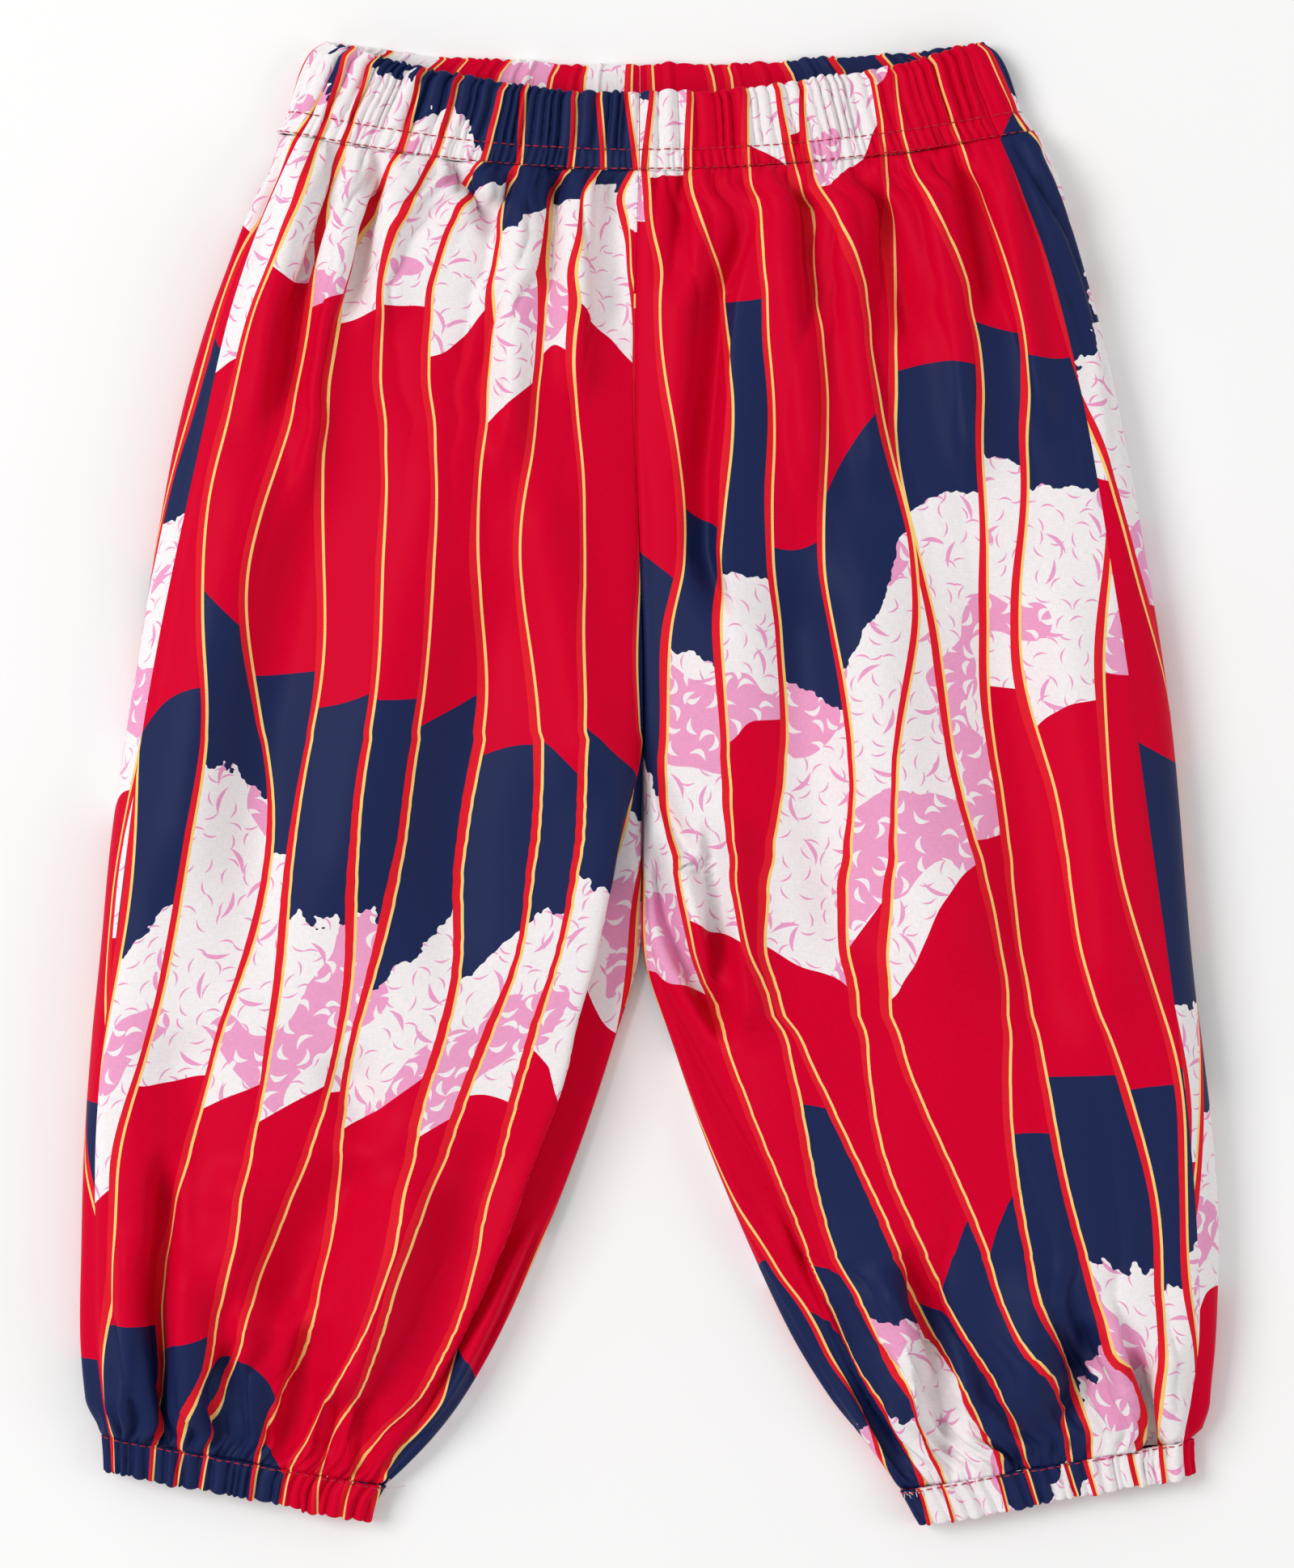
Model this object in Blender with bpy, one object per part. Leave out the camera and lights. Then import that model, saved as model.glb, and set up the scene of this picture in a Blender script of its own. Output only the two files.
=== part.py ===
# A toddler's pull-on lounge pants, laid flat with the front up.
# Four cloth panels, an elastic waist casing and an elastic hem on each leg.
# X runs across the garment, Y runs from the cuffs to the waist and Z is up.
# Sizes are millimetres here and become metres where the meshes are made.

import bpy
import bmesh
import math
import numpy as np
from mathutils import Vector

metres = 0.001

# Cloth and seams
panel_wall = 1.2        # one layer of printed cloth with its turnings
casing_wall = 2.2       # doubled cloth with the elastic in it
hem_wall = 2.0          # the same at the cuffs
seam_gap = 0.3          # space between two sewn pieces
leg_gap = 0.5           # space between the legs where they lie side by side

# Gathers raised on the elastic pieces
waist_front_gathers = 56
waist_back_gathers = 40
back_floor_points = 7   # points more on a back half, whose row is longer
cuff_gathers = 24       # on each half of each cuff
waist_gather_height = 0.7
cuff_gather_height = 0.6
plain_ends = 3          # points without gathers beside a seam

# Rows along the length, as the height on Y of their outer ends
waist_top = 229.0
upper_stitching = 208.0
lower_stitching = 201.5
cuff_stitching = -202.5
cuff_bottom = -213.4

# How far the middle of a row lies below its outer ends
front_top_drop = 14.0
front_waist_drop = 12.4
back_top_drop = 6.6
back_waist_drop = 7.0
waist_drop_reach = 110.0    # length over which the waist rows straighten
cuff_drop = 16.0            # the cuffs slant down toward the inner legs
cuff_drop_reach = 70.0

# The crotch, where the two halves close into legs
crotch_start = 28.0
crotch_end = -18.0

# Grid of the panels: rows down the length, and columns over each stretch
panel_rows = 30
row_crowding = 0.08         # how much closer the rows lie near waist and cuffs
edge_columns = 3            # over the rounding at the inner leg edge
rise_columns = 7            # over the rise beside it
rise_reach = 32.0           # length along a row that those columns cover
front_columns = 22          # over the rest of the puffed top
fold_columns = 9            # round the outer fold
floor_columns = 6           # flat on the floor

# Outline of each half, seen from above: the outer fold, the side seam on the
# front and the inner line, which is the centre seam down to the crotch and
# the inner edge of the leg below it
outline_columns = ("y", "outer", "seam", "inner")
left_outline = (
    (228, -101.8, -94.0, -4.0),
    (213, -110.5, -102.8, -4.0),
    (200, -117.2, -109.0, -4.0),
    (185, -123.3, -115.6, -4.2),
    (165, -129.9, -123.5, -4.6),
    (140, -138.2, -131.0, -5.0),
    (110, -146.0, -137.4, -5.0),
    (75, -153.0, -145.2, -3.8),
    (40, -159.2, -152.4, -2.8),
    (10, -164.4, -157.4, -2.8),
    (-20, -168.6, -161.0, -2.9),
    (-52, -171.2, -165.2, -3.6),
    (-80, -173.4, -168.6, -11.4),
    (-110, -174.7, -171.0, -21.2),
    (-140, -174.7, -171.2, -32.8),
    (-170, -174.2, -171.2, -46.6),
    (-190, -172.4, -169.4, -58.0),
    (-203, -170.4, -167.6, -67.8),
    (-219, -169.6, -167.0, -83.4),
    (-230, -169.6, -167.0, -87.2),
)
right_outline = (
    (228, 105.0, 96.0, -4.0),
    (213, 112.7, 102.3, -4.0),
    (200, 119.2, 107.6, -4.0),
    (185, 125.2, 113.0, -4.2),
    (165, 130.8, 120.4, -4.6),
    (140, 137.4, 127.3, -5.0),
    (110, 144.6, 133.8, -5.0),
    (75, 151.7, 139.6, -3.8),
    (40, 157.2, 145.0, -2.8),
    (10, 160.6, 149.4, -2.8),
    (-20, 163.4, 153.6, -2.9),
    (-52, 166.8, 158.2, -3.0),
    (-80, 170.4, 161.8, 6.0),
    (-110, 173.4, 165.2, 16.2),
    (-140, 174.6, 167.4, 28.6),
    (-170, 173.0, 168.4, 42.4),
    (-190, 169.6, 166.2, 54.6),
    (-203, 167.4, 164.4, 65.0),
    (-219, 168.2, 165.4, 76.6),
    (-230, 168.2, 165.4, 82.6),
)

# Fullness along the length: how high the front lies, how far in from the
# outer fold it rounds over, the height of the fold's widest point and the
# height of the front at the inner line
fullness_columns = ("y", "height", "shoulder", "rim", "centre")
fullness = (
    (228, 11.5, 9, 5.0, 11.5),
    (202, 13.0, 10, 5.5, 13.0),
    (185, 17.0, 14, 6.0, 15.5),
    (160, 20.0, 17, 7.0, 16.5),
    (110, 20.5, 18, 7.0, 16.0),
    (50, 21.0, 18, 7.0, 14.5),
    (10, 21.5, 18, 7.0, 11.5),
    (-20, 22.0, 18, 7.0, 9.0),
    (-60, 23.0, 18, 7.0, 9.0),
    (-110, 23.0, 18, 7.0, 11.0),
    (-160, 20.5, 17, 7.0, 11.5),
    (-188, 15.0, 12, 6.0, 10.0),
    (-203, 11.0, 9, 5.0, 9.0),
    (-213, 10.0, 8, 5.0, 8.5),
)

# The front beside the inner line: where its rise starts, measured from that
# line, the width over which it rises, how far it leans over towards the line
# and how much the ledge beside the line is lowered. On both legs the front is
# a roll that stands back from the edge and leaves a low ledge.
inner_rise_columns = ("y", "start", "width", "lean", "ledge")
left_inner_rise = (
    (210, 0, 30, 0, 0),
    (60, 0, 26, 0, 0),
    (14, 0, 16, 0, 0),
    (-8, 5, 9, 1.0, 0),
    (-26, 9, 8, 2.2, 1.0),
    (-48, 13, 8, 2.8, 2.0),
    (-70, 13, 8, 2.8, 2.0),
    (-92, 12.5, 8, 2.6, 2.0),
    (-118, 12, 9, 2.2, 2.0),
    (-140, 11.5, 10, 1.8, 1.5),
    (-165, 10, 11, 1.0, 1.0),
    (-190, 6, 14, 0, 0),
    (-215, 0, 16, 0, 0),
)
right_inner_rise = (
    (210, 0, 30, 0, 0),
    (60, 0, 30, 0, 0),
    (10, 0, 30, 0, 0),
    (-30, 2, 30, 0, 0),
    (-70, 5, 28, 0, 0),
    (-95, 9, 22, 0, 0),
    (-117, 14, 15, 0.4, 0.5),
    (-140, 15, 10, 1.2, 1.0),
    (-162, 14.5, 9, 1.8, 1.5),
    (-184, 11.5, 8, 1.2, 1.2),
    (-202, 8, 9, 0, 0.6),
    (-215, 4, 12, 0, 0),
)
lean_start = 0.25           # share of the rise by which the lean is full
lean_end = 1.6              # widths of the rise past which the lean is gone
lean_fade = 1.2             # widths of the rise over which it goes
inner_corner = 5.0          # width of the rounding at the inner leg edge
inner_seam_height = 4.4     # height of the inseam above the floor
floor_corner = 6.0          # width of the rounding under the outer fold

# Largest folds of the front, each a straight stroke: ends, half width and
# how far it lifts the cloth, or lowers it where the lift is negative
stroke_columns = ("from_x", "from_y", "to_x", "to_y", "width", "lift")
left_folds = (
    (-108, 196, -118, 120, 6, 1.8),
    (-92, 194, -100, 110, 7, 2.2),
    (-75, 192, -80, 120, 6, 1.8),
    (-63, 192, -50, 170, 5, -2.6),
    (-38, 190, -42, 100, 7, 2.2),
    (-21, 190, -22, 120, 6, 1.8),
    (-120, 100, -146, -30, 14, 2.0),
    (-62, 110, -96, -40, 16, 2.4),
    (-34, 90, -22, 0, 12, 2.0),
    (-148, -132, -151, -202, 6, -3.2),
    (-129, -157, -131, -206, 6, -2.8),
    (-68, -126, -92, -196, 11, 3.4),
    (-110, -100, -124, -170, 9, -2.4),
    (-94, -90, -84, -122, 9, -2.6),
    (-104, -172, -110, -210, 5, -2.4),
)
right_folds = (
    (29, 166, 21, 124, 7, -4.6),
    (21, 130, 19, 62, 7, -5.0),
    (11, 190, 9, 90, 8, 2.0),
    (42, 190, 46, 60, 10, 2.6),
    (57, 188, 64, 110, 6, 1.8),
    (80, 192, 92, 100, 8, 2.2),
    (100, 198, 112, 120, 6, 1.8),
    (68, 60, 92, -60, 16, 2.2),
    (126, 60, 140, -70, 12, 2.0),
    (2, -18, 24, -66, 5, -4.0),
    (16, -12, 24, -72, 6, 3.0),
    (42, -136, 62, -178, 6, -4.6),
    (60, -174, 84, -214, 5, -4.2),
    (80, -146, 90, -196, 5, -3.2),
    (96, -192, 118, -212, 5, -2.8),
    (128, -172, 134, -190, 5, -3.2),
    (146, -178, 152, -206, 5, -3.2),
)
fold_margin = 9.0           # the folds fade out this far from a seam
fold_clear = 0.4            # share of the shoulder that they stay clear of
stroke_overrun = 0.1        # share of its length that a fold fades beyond its ends
fade_in = 5                 # a fold is full at a fifth of its length
fade_out = 4                # and starts to fade a quarter before its end

# Colours from the photograph, one for each kind of piece
red = (0.62, 0.005, 0.02, 1)
navy = (0.02, 0.035, 0.13, 1)
cloth_roughness = 0.62
sharp_angle = 50            # degrees above which an edge is shaded as a corner

# Closely spaced points that a row is read from, for each of its stretches, and
# how far above and below it the slope of the cloth is read
edge_steps = 16
top_steps = 90
fold_steps = 24
floor_steps = 60
slope_reach = 1.5
floor_start = edge_steps + top_steps + 2 * fold_steps
floor_end = floor_start + floor_steps
on_floor = 0.05             # points of a back that lie lower are put on the floor
shortest = 1e-9             # the shortest length that a direction is divided by


def curve(columns, table, name, y):
    """Value of a table's named column at a height, on a smooth curve."""
    column = columns.index(name)
    keys = [row[0] for row in table][::-1]
    values = [row[column] for row in table][::-1]
    if y <= keys[0]:
        return values[0]
    if y >= keys[-1]:
        return values[-1]
    place = 0
    while keys[place + 1] < y:
        place += 1
    low, high = keys[place], keys[place + 1]
    before, after = max(place - 1, 0), min(place + 2, len(keys) - 1)
    start, end = values[place], values[place + 1]
    start_slope = (end - values[before]) / (high - keys[before])
    end_slope = (values[after] - start) / (keys[after] - low)
    span = high - low
    t = (y - low) / span
    blend = t * t * (3 - 2 * t)
    start_pull = t * (1 - t) * (1 - t) * start_slope * span
    end_pull = t * t * (1 - t) * end_slope * span
    return start + (end - start) * blend + start_pull - end_pull


def smooth(value):
    """Soft step from 0 to 1."""
    value = min(max(value, 0.0), 1.0)
    return value * value * (3 - 2 * value)


def drop_at(y, across, waist_drop):
    """How far a row sags below its outer end, at a share of its width."""
    waist = max(0.0, 1 - (lower_stitching - y) / waist_drop_reach)
    cuff = max(0.0, 1 - (y - cuff_stitching) / cuff_drop_reach)
    sag = waist_drop * min(waist, 1.0) ** 2 * (1 - (1 - across) ** 2)
    return sag + cuff_drop * min(cuff, 1.0) ** 2 * across


def fold_lift(folds, x, y):
    """Sum of the folds' strokes at a point of the front."""
    total = 0.0
    for row in folds:
        fold = dict(zip(stroke_columns, row))
        along_x, along_y = fold["to_x"] - fold["from_x"], fold["to_y"] - fold["from_y"]
        beside_x, beside_y = x - fold["from_x"], y - fold["from_y"]
        length = math.hypot(along_x, along_y)
        t = (beside_x * along_x + beside_y * along_y) / length ** 2
        if -stroke_overrun < t < 1 + stroke_overrun:
            aside = (beside_x * along_y - beside_y * along_x) / length
            fade = smooth(fade_in * (t + stroke_overrun))
            fade *= smooth(fade_out * (1 + stroke_overrun - t))
            total += fold["lift"] * fade * math.exp(-((aside / fold["width"]) ** 2))
    return total


class Half:
    """One half of the garment: a front, a back and their shared outline."""

    def __init__(self, side, outline, inner_rise, folds):
        self.side = side
        self.outline = outline
        self.inner_rise = inner_rise
        self.folds = folds

    def spot(self, y, across, waist_drop):
        """Place on the floor plan of a row's point."""
        outer = curve(outline_columns, self.outline, "outer", y)
        inner_y = y - drop_at(y, 1, waist_drop)
        aside = leg_gap / 2 * smooth((crotch_start - y) / (crotch_start - crotch_end))
        inner = curve(outline_columns, self.outline, "inner", inner_y) + math.copysign(aside, outer)
        return outer + (inner - outer) * across, y - drop_at(y, across, waist_drop)

    def section(self, y, waist_drop, back_drop, plain=False):
        """Closely spaced points round one row of the half, from the centre
        seam or inseam over the top to the outer fold and back underneath.
        Also gives the length at which the side seam lies."""
        height = curve(fullness_columns, fullness, "height", y)
        shoulder = curve(fullness_columns, fullness, "shoulder", y)
        rim = curve(fullness_columns, fullness, "rim", y)
        centre = curve(fullness_columns, fullness, "centre", y)
        start = curve(inner_rise_columns, self.inner_rise, "start", y)
        rise = curve(inner_rise_columns, self.inner_rise, "width", y)
        lean = curve(inner_rise_columns, self.inner_rise, "lean", y)
        centre -= curve(inner_rise_columns, self.inner_rise, "ledge", y)
        closed = smooth((crotch_start - y) / (crotch_start - crotch_end))
        outer = curve(outline_columns, self.outline, "outer", y)
        inner = self.spot(y, 1, waist_drop)[0]
        width = abs(inner - outer)

        def crown(across):
            if plain:
                return height
            inside = (1 - across) * width
            t = min(max((inside - start) / rise, 0.0), 1.0)
            top = centre + (height - centre) * math.sqrt(1 - (1 - t) ** 2)
            x, place = self.spot(y, across, waist_drop)
            room = min(inside, across * width - shoulder * fold_clear)
            fade = smooth(room / fold_margin)
            return top + fade * fold_lift(self.folds, x, place)

        def front_point(across, z):
            x, place = self.spot(y, across, waist_drop)
            t = ((1 - across) * width - start) / rise
            shift = lean * smooth(t / lean_start) * smooth((lean_end - t) / lean_fade)
            return x + (0.0 if plain else math.copysign(shift, -outer)), place, z

        points = []
        for step in range(edge_steps):      # rounding at the inner leg edge
            angle = math.pi / 2 * step / edge_steps
            reach = math.cos(angle)
            across = 1 - inner_corner * (1 - reach) / width
            fall = 1 - math.sqrt(max(0.0, 1 - (closed * reach) ** 2))
            top = crown(across)
            points.append(front_point(across, top - (top - inner_seam_height) * fall))
        near, far = 1 - inner_corner / width, shoulder / width
        for step in range(top_steps):       # the puffed top
            across = near + (far - near) * step / top_steps
            points.append(front_point(across, crown(across)))
        for step in range(fold_steps):      # over the outer fold
            angle = math.pi / 2 * step / fold_steps
            across = shoulder * (1 - math.sin(angle)) / width
            points.append(front_point(across, rim + (crown(across) - rim) * math.cos(angle)))
        for step in range(fold_steps):      # down to the floor
            angle = math.pi / 2 * step / fold_steps
            across = floor_corner * (1 - math.cos(angle)) / width
            x, place = self.spot(y, across, back_drop)
            points.append((x, place, rim * (1 - math.sin(angle))))
        near, far = floor_corner / width, 1 - inner_corner / width
        for step in range(floor_steps):     # flat on the floor
            across = near + (far - near) * step / floor_steps
            x, place = self.spot(y, across, back_drop)
            points.append((x, place, 0.0))
        for step in range(edge_steps + 1):  # up to the inseam
            angle = math.pi / 2 * step / edge_steps
            across = far + (1 - far) * math.sin(angle)
            lift = 1 - math.sqrt(max(0.0, 1 - (closed * math.sin(angle)) ** 2))
            x, place = self.spot(y, across, back_drop)
            points.append((x, place, inner_seam_height * lift))
        points = np.array(points)
        lengths = lengths_along(points)
        seam_x = curve(outline_columns, self.outline, "seam", y)
        top_end = edge_steps + top_steps + fold_steps
        crossing = edge_steps + np.argmin(np.abs(points[edge_steps:top_end, 0] - seam_x))
        return points, lengths[crossing], lengths


def lengths_along(points):
    """Running length along a row of points."""
    steps = np.linalg.norm(np.diff(points, axis=0), axis=1)
    return np.concatenate(([0.0], np.cumsum(steps)))


def read_row(points, lengths, wanted):
    """Points of a row at the wanted lengths along it."""
    return np.stack([np.interp(wanted, lengths, points[:, k]) for k in range(3)], axis=1)


def row_normals(above, row, below, towards):
    """Outward directions along a row, from the rows on both sides of it."""
    along = np.gradient(row, axis=0)
    down = below - above
    return unit(np.cross(along, down) * towards)


def unit(ways):
    """Directions brought to a length of 1."""
    return ways / np.maximum(np.linalg.norm(ways, axis=1, keepdims=True), shortest)


def squared_to_row(ways):
    """Directions kept across the length, so that a row's cut face is square."""
    return unit(ways * (1.0, 0.0, 1.0))


def cloth_material(name, colour):
    """Matte cloth of one colour."""
    material = bpy.data.materials.new(name)
    material.use_nodes = True
    shader = material.node_tree.nodes["Principled BSDF"]
    shader.inputs["Base Color"].default_value = colour
    shader.inputs["Roughness"].default_value = cloth_roughness
    shader.inputs["Metallic"].default_value = 0.0
    return material


def wall_from_sheets(name, outside, inside, colour):
    """A closed wall between two grids of points that match row by row."""
    rows, columns = outside.shape[0], outside.shape[1]
    model = bmesh.new()
    bmesh.ops.create_grid(model, x_segments=columns - 1, y_segments=rows - 1, size=1)
    grid = {}
    for vertex in model.verts:
        column = round((vertex.co.x + 1) / 2 * (columns - 1))
        row = round((vertex.co.y + 1) / 2 * (rows - 1))
        grid[vertex] = (row, column)
    sheet = list(model.faces)
    extruded = bmesh.ops.extrude_face_region(model, geom=sheet, use_keep_orig=True)
    copies = [item for item in extruded["geom"] if isinstance(item, bmesh.types.BMVert)]
    originals = {(round(v.co.x, 4), round(v.co.y, 4)): place for v, place in grid.items()}
    for vertex in copies:
        row, column = originals[(round(vertex.co.x, 4), round(vertex.co.y, 4))]
        vertex.co = Vector(inside[row, column]) * metres
    for vertex, (row, column) in grid.items():
        vertex.co = Vector(outside[row, column]) * metres
    bmesh.ops.recalc_face_normals(model, faces=model.faces)
    if model.calc_volume(signed=True) < 0:
        bmesh.ops.reverse_faces(model, faces=model.faces)
    bmesh.ops.triangulate(model, faces=model.faces)
    mesh = bpy.data.meshes.new(name)
    model.to_mesh(mesh)
    model.free()
    mesh.shade_smooth()
    mesh.set_sharp_from_angle(angle=math.radians(sharp_angle))
    mesh.materials.append(cloth_material(name + "_cloth", colour))
    built = bpy.data.objects.new(name, mesh)
    bpy.context.scene.collection.objects.link(built)
    return built


def row_heights(top, bottom, count):
    """Row heights, closer together near the waist and the cuffs."""
    heights = []
    for step in range(count):
        t = step / (count - 1)
        eased = t - row_crowding * math.sin(2 * math.pi * t)
        heights.append(top + (bottom - top) * eased)
    return heights


def panel_lengths(part, lengths, seam):
    """Where along a row the columns of a front or a back lie."""
    half_gap = seam_gap / 2
    if part == "front":
        edge = lengths[edge_steps]
        risen = edge + rise_reach
        rounding = np.linspace(half_gap, edge, edge_columns, endpoint=False)
        rise = np.linspace(edge, risen, rise_columns, endpoint=False)
        return np.concatenate((rounding, rise, np.linspace(risen, seam - half_gap, front_columns)))
    floor, lift = lengths[floor_start], lengths[floor_end]
    fold = np.linspace(seam + half_gap, floor, fold_columns, endpoint=False)
    flat = np.linspace(floor, lift, floor_columns, endpoint=False)
    return np.concatenate((fold, flat, np.linspace(lift, lengths[-1] - half_gap, edge_columns)))


def panel_sheets(half, heights, part, wall):
    """Outer and inner points of a front or a back, row by row."""
    towards = 1 if half.side == "left" else -1
    outside, inside = [], []
    for place, y in enumerate(heights):
        rows = []
        for nudge in (slope_reach, 0.0, -slope_reach):
            rows.append(half.section(y + nudge, front_waist_drop, back_waist_drop))
        normals = row_normals(rows[0][0], rows[1][0], rows[2][0], towards)
        points, seam, lengths = rows[1]
        wanted = panel_lengths(part, lengths, seam)
        spots = read_row(points, lengths, wanted)
        ways = unit(read_row(normals, lengths, wanted))
        if place in (0, len(heights) - 1):
            ways = squared_to_row(ways)
        if part == "back":
            spots[spots[:, 2] < on_floor, 2] = 0.0
            ways[spots[:, 2] == 0.0] = (0, 0, -1)
        outside.append(spots)
        inside.append(spots - ways * wall)
    return np.array(outside), np.array(inside)


def build_panels(halves):
    """The four panels that the legs and the body are sewn from."""
    half_gap = seam_gap / 2
    heights = row_heights(lower_stitching - half_gap, cuff_stitching + half_gap, panel_rows)
    for half in halves:
        for part in ("front", "back"):
            outside, inside = panel_sheets(half, heights, part, panel_wall)
            wall_from_sheets(part + "_" + half.side, outside, inside, red)


def gathered(spots, ways, height):
    """Points moved out and in by turns, as crimped gathers."""
    turns = np.where(np.arange(len(spots)) % 2 == 0, 1.0, -1.0)
    turns[:plain_ends] = turns[-plain_ends:] = 0.0
    return spots + ways * (turns * height)[:, None]


def casing_row(half, y, drops):
    """Points and outward directions round one half of a casing's row."""
    towards = 1 if half.side == "left" else -1
    rows = []
    for nudge in (slope_reach, 0.0, -slope_reach):
        rows.append(half.section(y + nudge, drops[0], drops[1], plain=True))
    normals = row_normals(rows[0][0], rows[1][0], rows[2][0], towards)
    points, seam, lengths = rows[1]
    return points, normals, seam, lengths


def build_waist_casing(halves):
    """Front and back of the waist casing, from side seam to side seam."""
    rows = (
        (waist_top, front_top_drop, back_top_drop),
        (upper_stitching, front_waist_drop, back_waist_drop),
        (lower_stitching + seam_gap / 2, front_waist_drop, back_waist_drop),
    )
    for part, gathers in (("front", waist_front_gathers), ("back", waist_back_gathers)):
        outside, inside = [], []
        for y, front_drop, back_drop in rows:
            spots, ways = [], []
            for half in halves:
                points, normals, seam, lengths = casing_row(half, y, (front_drop, back_drop))
                count = gathers + 1
                if part == "front":
                    wanted = np.linspace(seam - seam_gap / 2, 0.0, count)
                else:
                    wanted = np.linspace(seam + seam_gap / 2, lengths[-1], count + back_floor_points)
                half_spots = read_row(points, lengths, wanted)
                half_ways = read_row(normals, lengths, wanted)
                if half.side == "right":
                    half_spots, half_ways = half_spots[::-1][1:], half_ways[::-1][1:]
                spots.append(half_spots)
                ways.append(half_ways)
            spots, ways = np.concatenate(spots), squared_to_row(np.concatenate(ways))
            if part == "front":
                outside.append(gathered(spots, ways, waist_gather_height))
                inside.append(spots - ways * casing_wall)
            else:
                spots[spots[:, 2] < on_floor, 2] = 0.0
                ways[spots[:, 2] == 0.0] = (0, 0, -1)
                outside.append(spots)
                inside.append(gathered(spots - ways * casing_wall, -ways, waist_gather_height))
        wall_from_sheets("waist_casing_" + part, np.array(outside), np.array(inside), navy)


def build_cuffs(halves):
    """Front and back of the elastic hem on each leg."""
    for half in halves:
        for part in ("front", "back"):
            outside, inside = [], []
            for y in (cuff_stitching - seam_gap / 2, cuff_bottom):
                points, normals, seam, lengths = casing_row(half, y, (0.0, 0.0))
                if part == "front":
                    near, far = seam_gap / 2, seam - seam_gap / 2
                else:
                    near, far = seam + seam_gap / 2, lengths[-1] - seam_gap / 2
                wanted = np.linspace(near, far, 2 * cuff_gathers + 1)
                spots = read_row(points, lengths, wanted)
                ways = squared_to_row(read_row(normals, lengths, wanted))
                if part == "front":
                    outside.append(gathered(spots, ways, cuff_gather_height))
                    inside.append(spots - ways * hem_wall)
                else:
                    spots[spots[:, 2] < on_floor, 2] = 0.0
                    ways[spots[:, 2] == 0.0] = (0, 0, -1)
                    outside.append(spots)
                    inside.append(gathered(spots - ways * hem_wall, -ways, cuff_gather_height))
            name = "cuff_" + half.side + "_" + part
            wall_from_sheets(name, np.array(outside), np.array(inside), navy)


def build():
    """Clears the scene and models the garment."""
    for existing in list(bpy.data.objects):
        bpy.data.objects.remove(existing, do_unlink=True)
    halves = (
        Half("left", left_outline, left_inner_rise, left_folds),
        Half("right", right_outline, right_inner_rise, right_folds),
    )
    build_panels(halves)
    build_waist_casing(halves)
    build_cuffs(halves)


build()
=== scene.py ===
import math
import bmesh
import bpy
import numpy as np
from mathutils import Matrix, Vector


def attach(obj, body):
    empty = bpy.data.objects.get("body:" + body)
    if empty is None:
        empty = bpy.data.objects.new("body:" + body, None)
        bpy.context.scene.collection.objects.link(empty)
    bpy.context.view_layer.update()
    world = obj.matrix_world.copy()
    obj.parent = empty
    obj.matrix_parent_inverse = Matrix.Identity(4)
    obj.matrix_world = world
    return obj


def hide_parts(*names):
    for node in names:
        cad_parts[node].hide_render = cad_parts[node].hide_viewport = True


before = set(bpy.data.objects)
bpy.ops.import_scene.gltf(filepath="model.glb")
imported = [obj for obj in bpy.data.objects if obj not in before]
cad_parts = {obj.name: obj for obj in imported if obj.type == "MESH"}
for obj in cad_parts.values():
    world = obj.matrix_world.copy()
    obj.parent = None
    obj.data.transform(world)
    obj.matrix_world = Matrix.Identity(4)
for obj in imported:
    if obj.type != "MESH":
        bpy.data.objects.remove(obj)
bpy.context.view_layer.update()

# Sizes are millimetres unless a note says otherwise: X across, Y from cuffs to waist, Z up
metres = 0.001

# The garment's plan, as the solids have it, and how its folds and print are laid
plan = {
    "seamGap": 0.01,
    "legGap": 0.5,
    "waistTop": 229.0,
    "upperStitching": 208.0,
    "lowerStitching": 201.5,
    "cuffStitching": -202.5,
    "cuffBottom": -212.9,
    "frontTopDrop": 16.4,
    "frontWaistDrop": 12.4,
    "backTopDrop": 6.6,
    "backWaistDrop": 7.0,
    "waistDropReach": 110.0,
    "cuffDrop": 16.0,
    "cuffDropReach": 70.0,
    "crotchStart": 28.0,
    "crotchEnd": -18.0,
    "innerCorner": 3.6,
    "innerSeamHeight": 4.4,
    "innerReach": 42.0,  # the print is laid without the cloth taken up within this
    "floorCorner": 6.0,
    "foldMargin": 5.0,
    "foldDepth": 2.4,  # every fold's lift is taken this many times
    "foldTake": 0.3,  # the share of the folds' extra cloth that moves the print aside
    "rollSquareness": 0.4,  # how square the roll's shoulder is, for each millimetre of lean
    "foldStart": 0.4,  # folds begin this share of the shoulder in from the outer fold
    "leanStart": 0.25,  # where the roll leans over, as shares of its rise's width
    "leanEnd": 1.6,
    "leanFade": 1.2,
    "casingWall": 2.2,
    "hemWall": 2.0,
}

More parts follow.
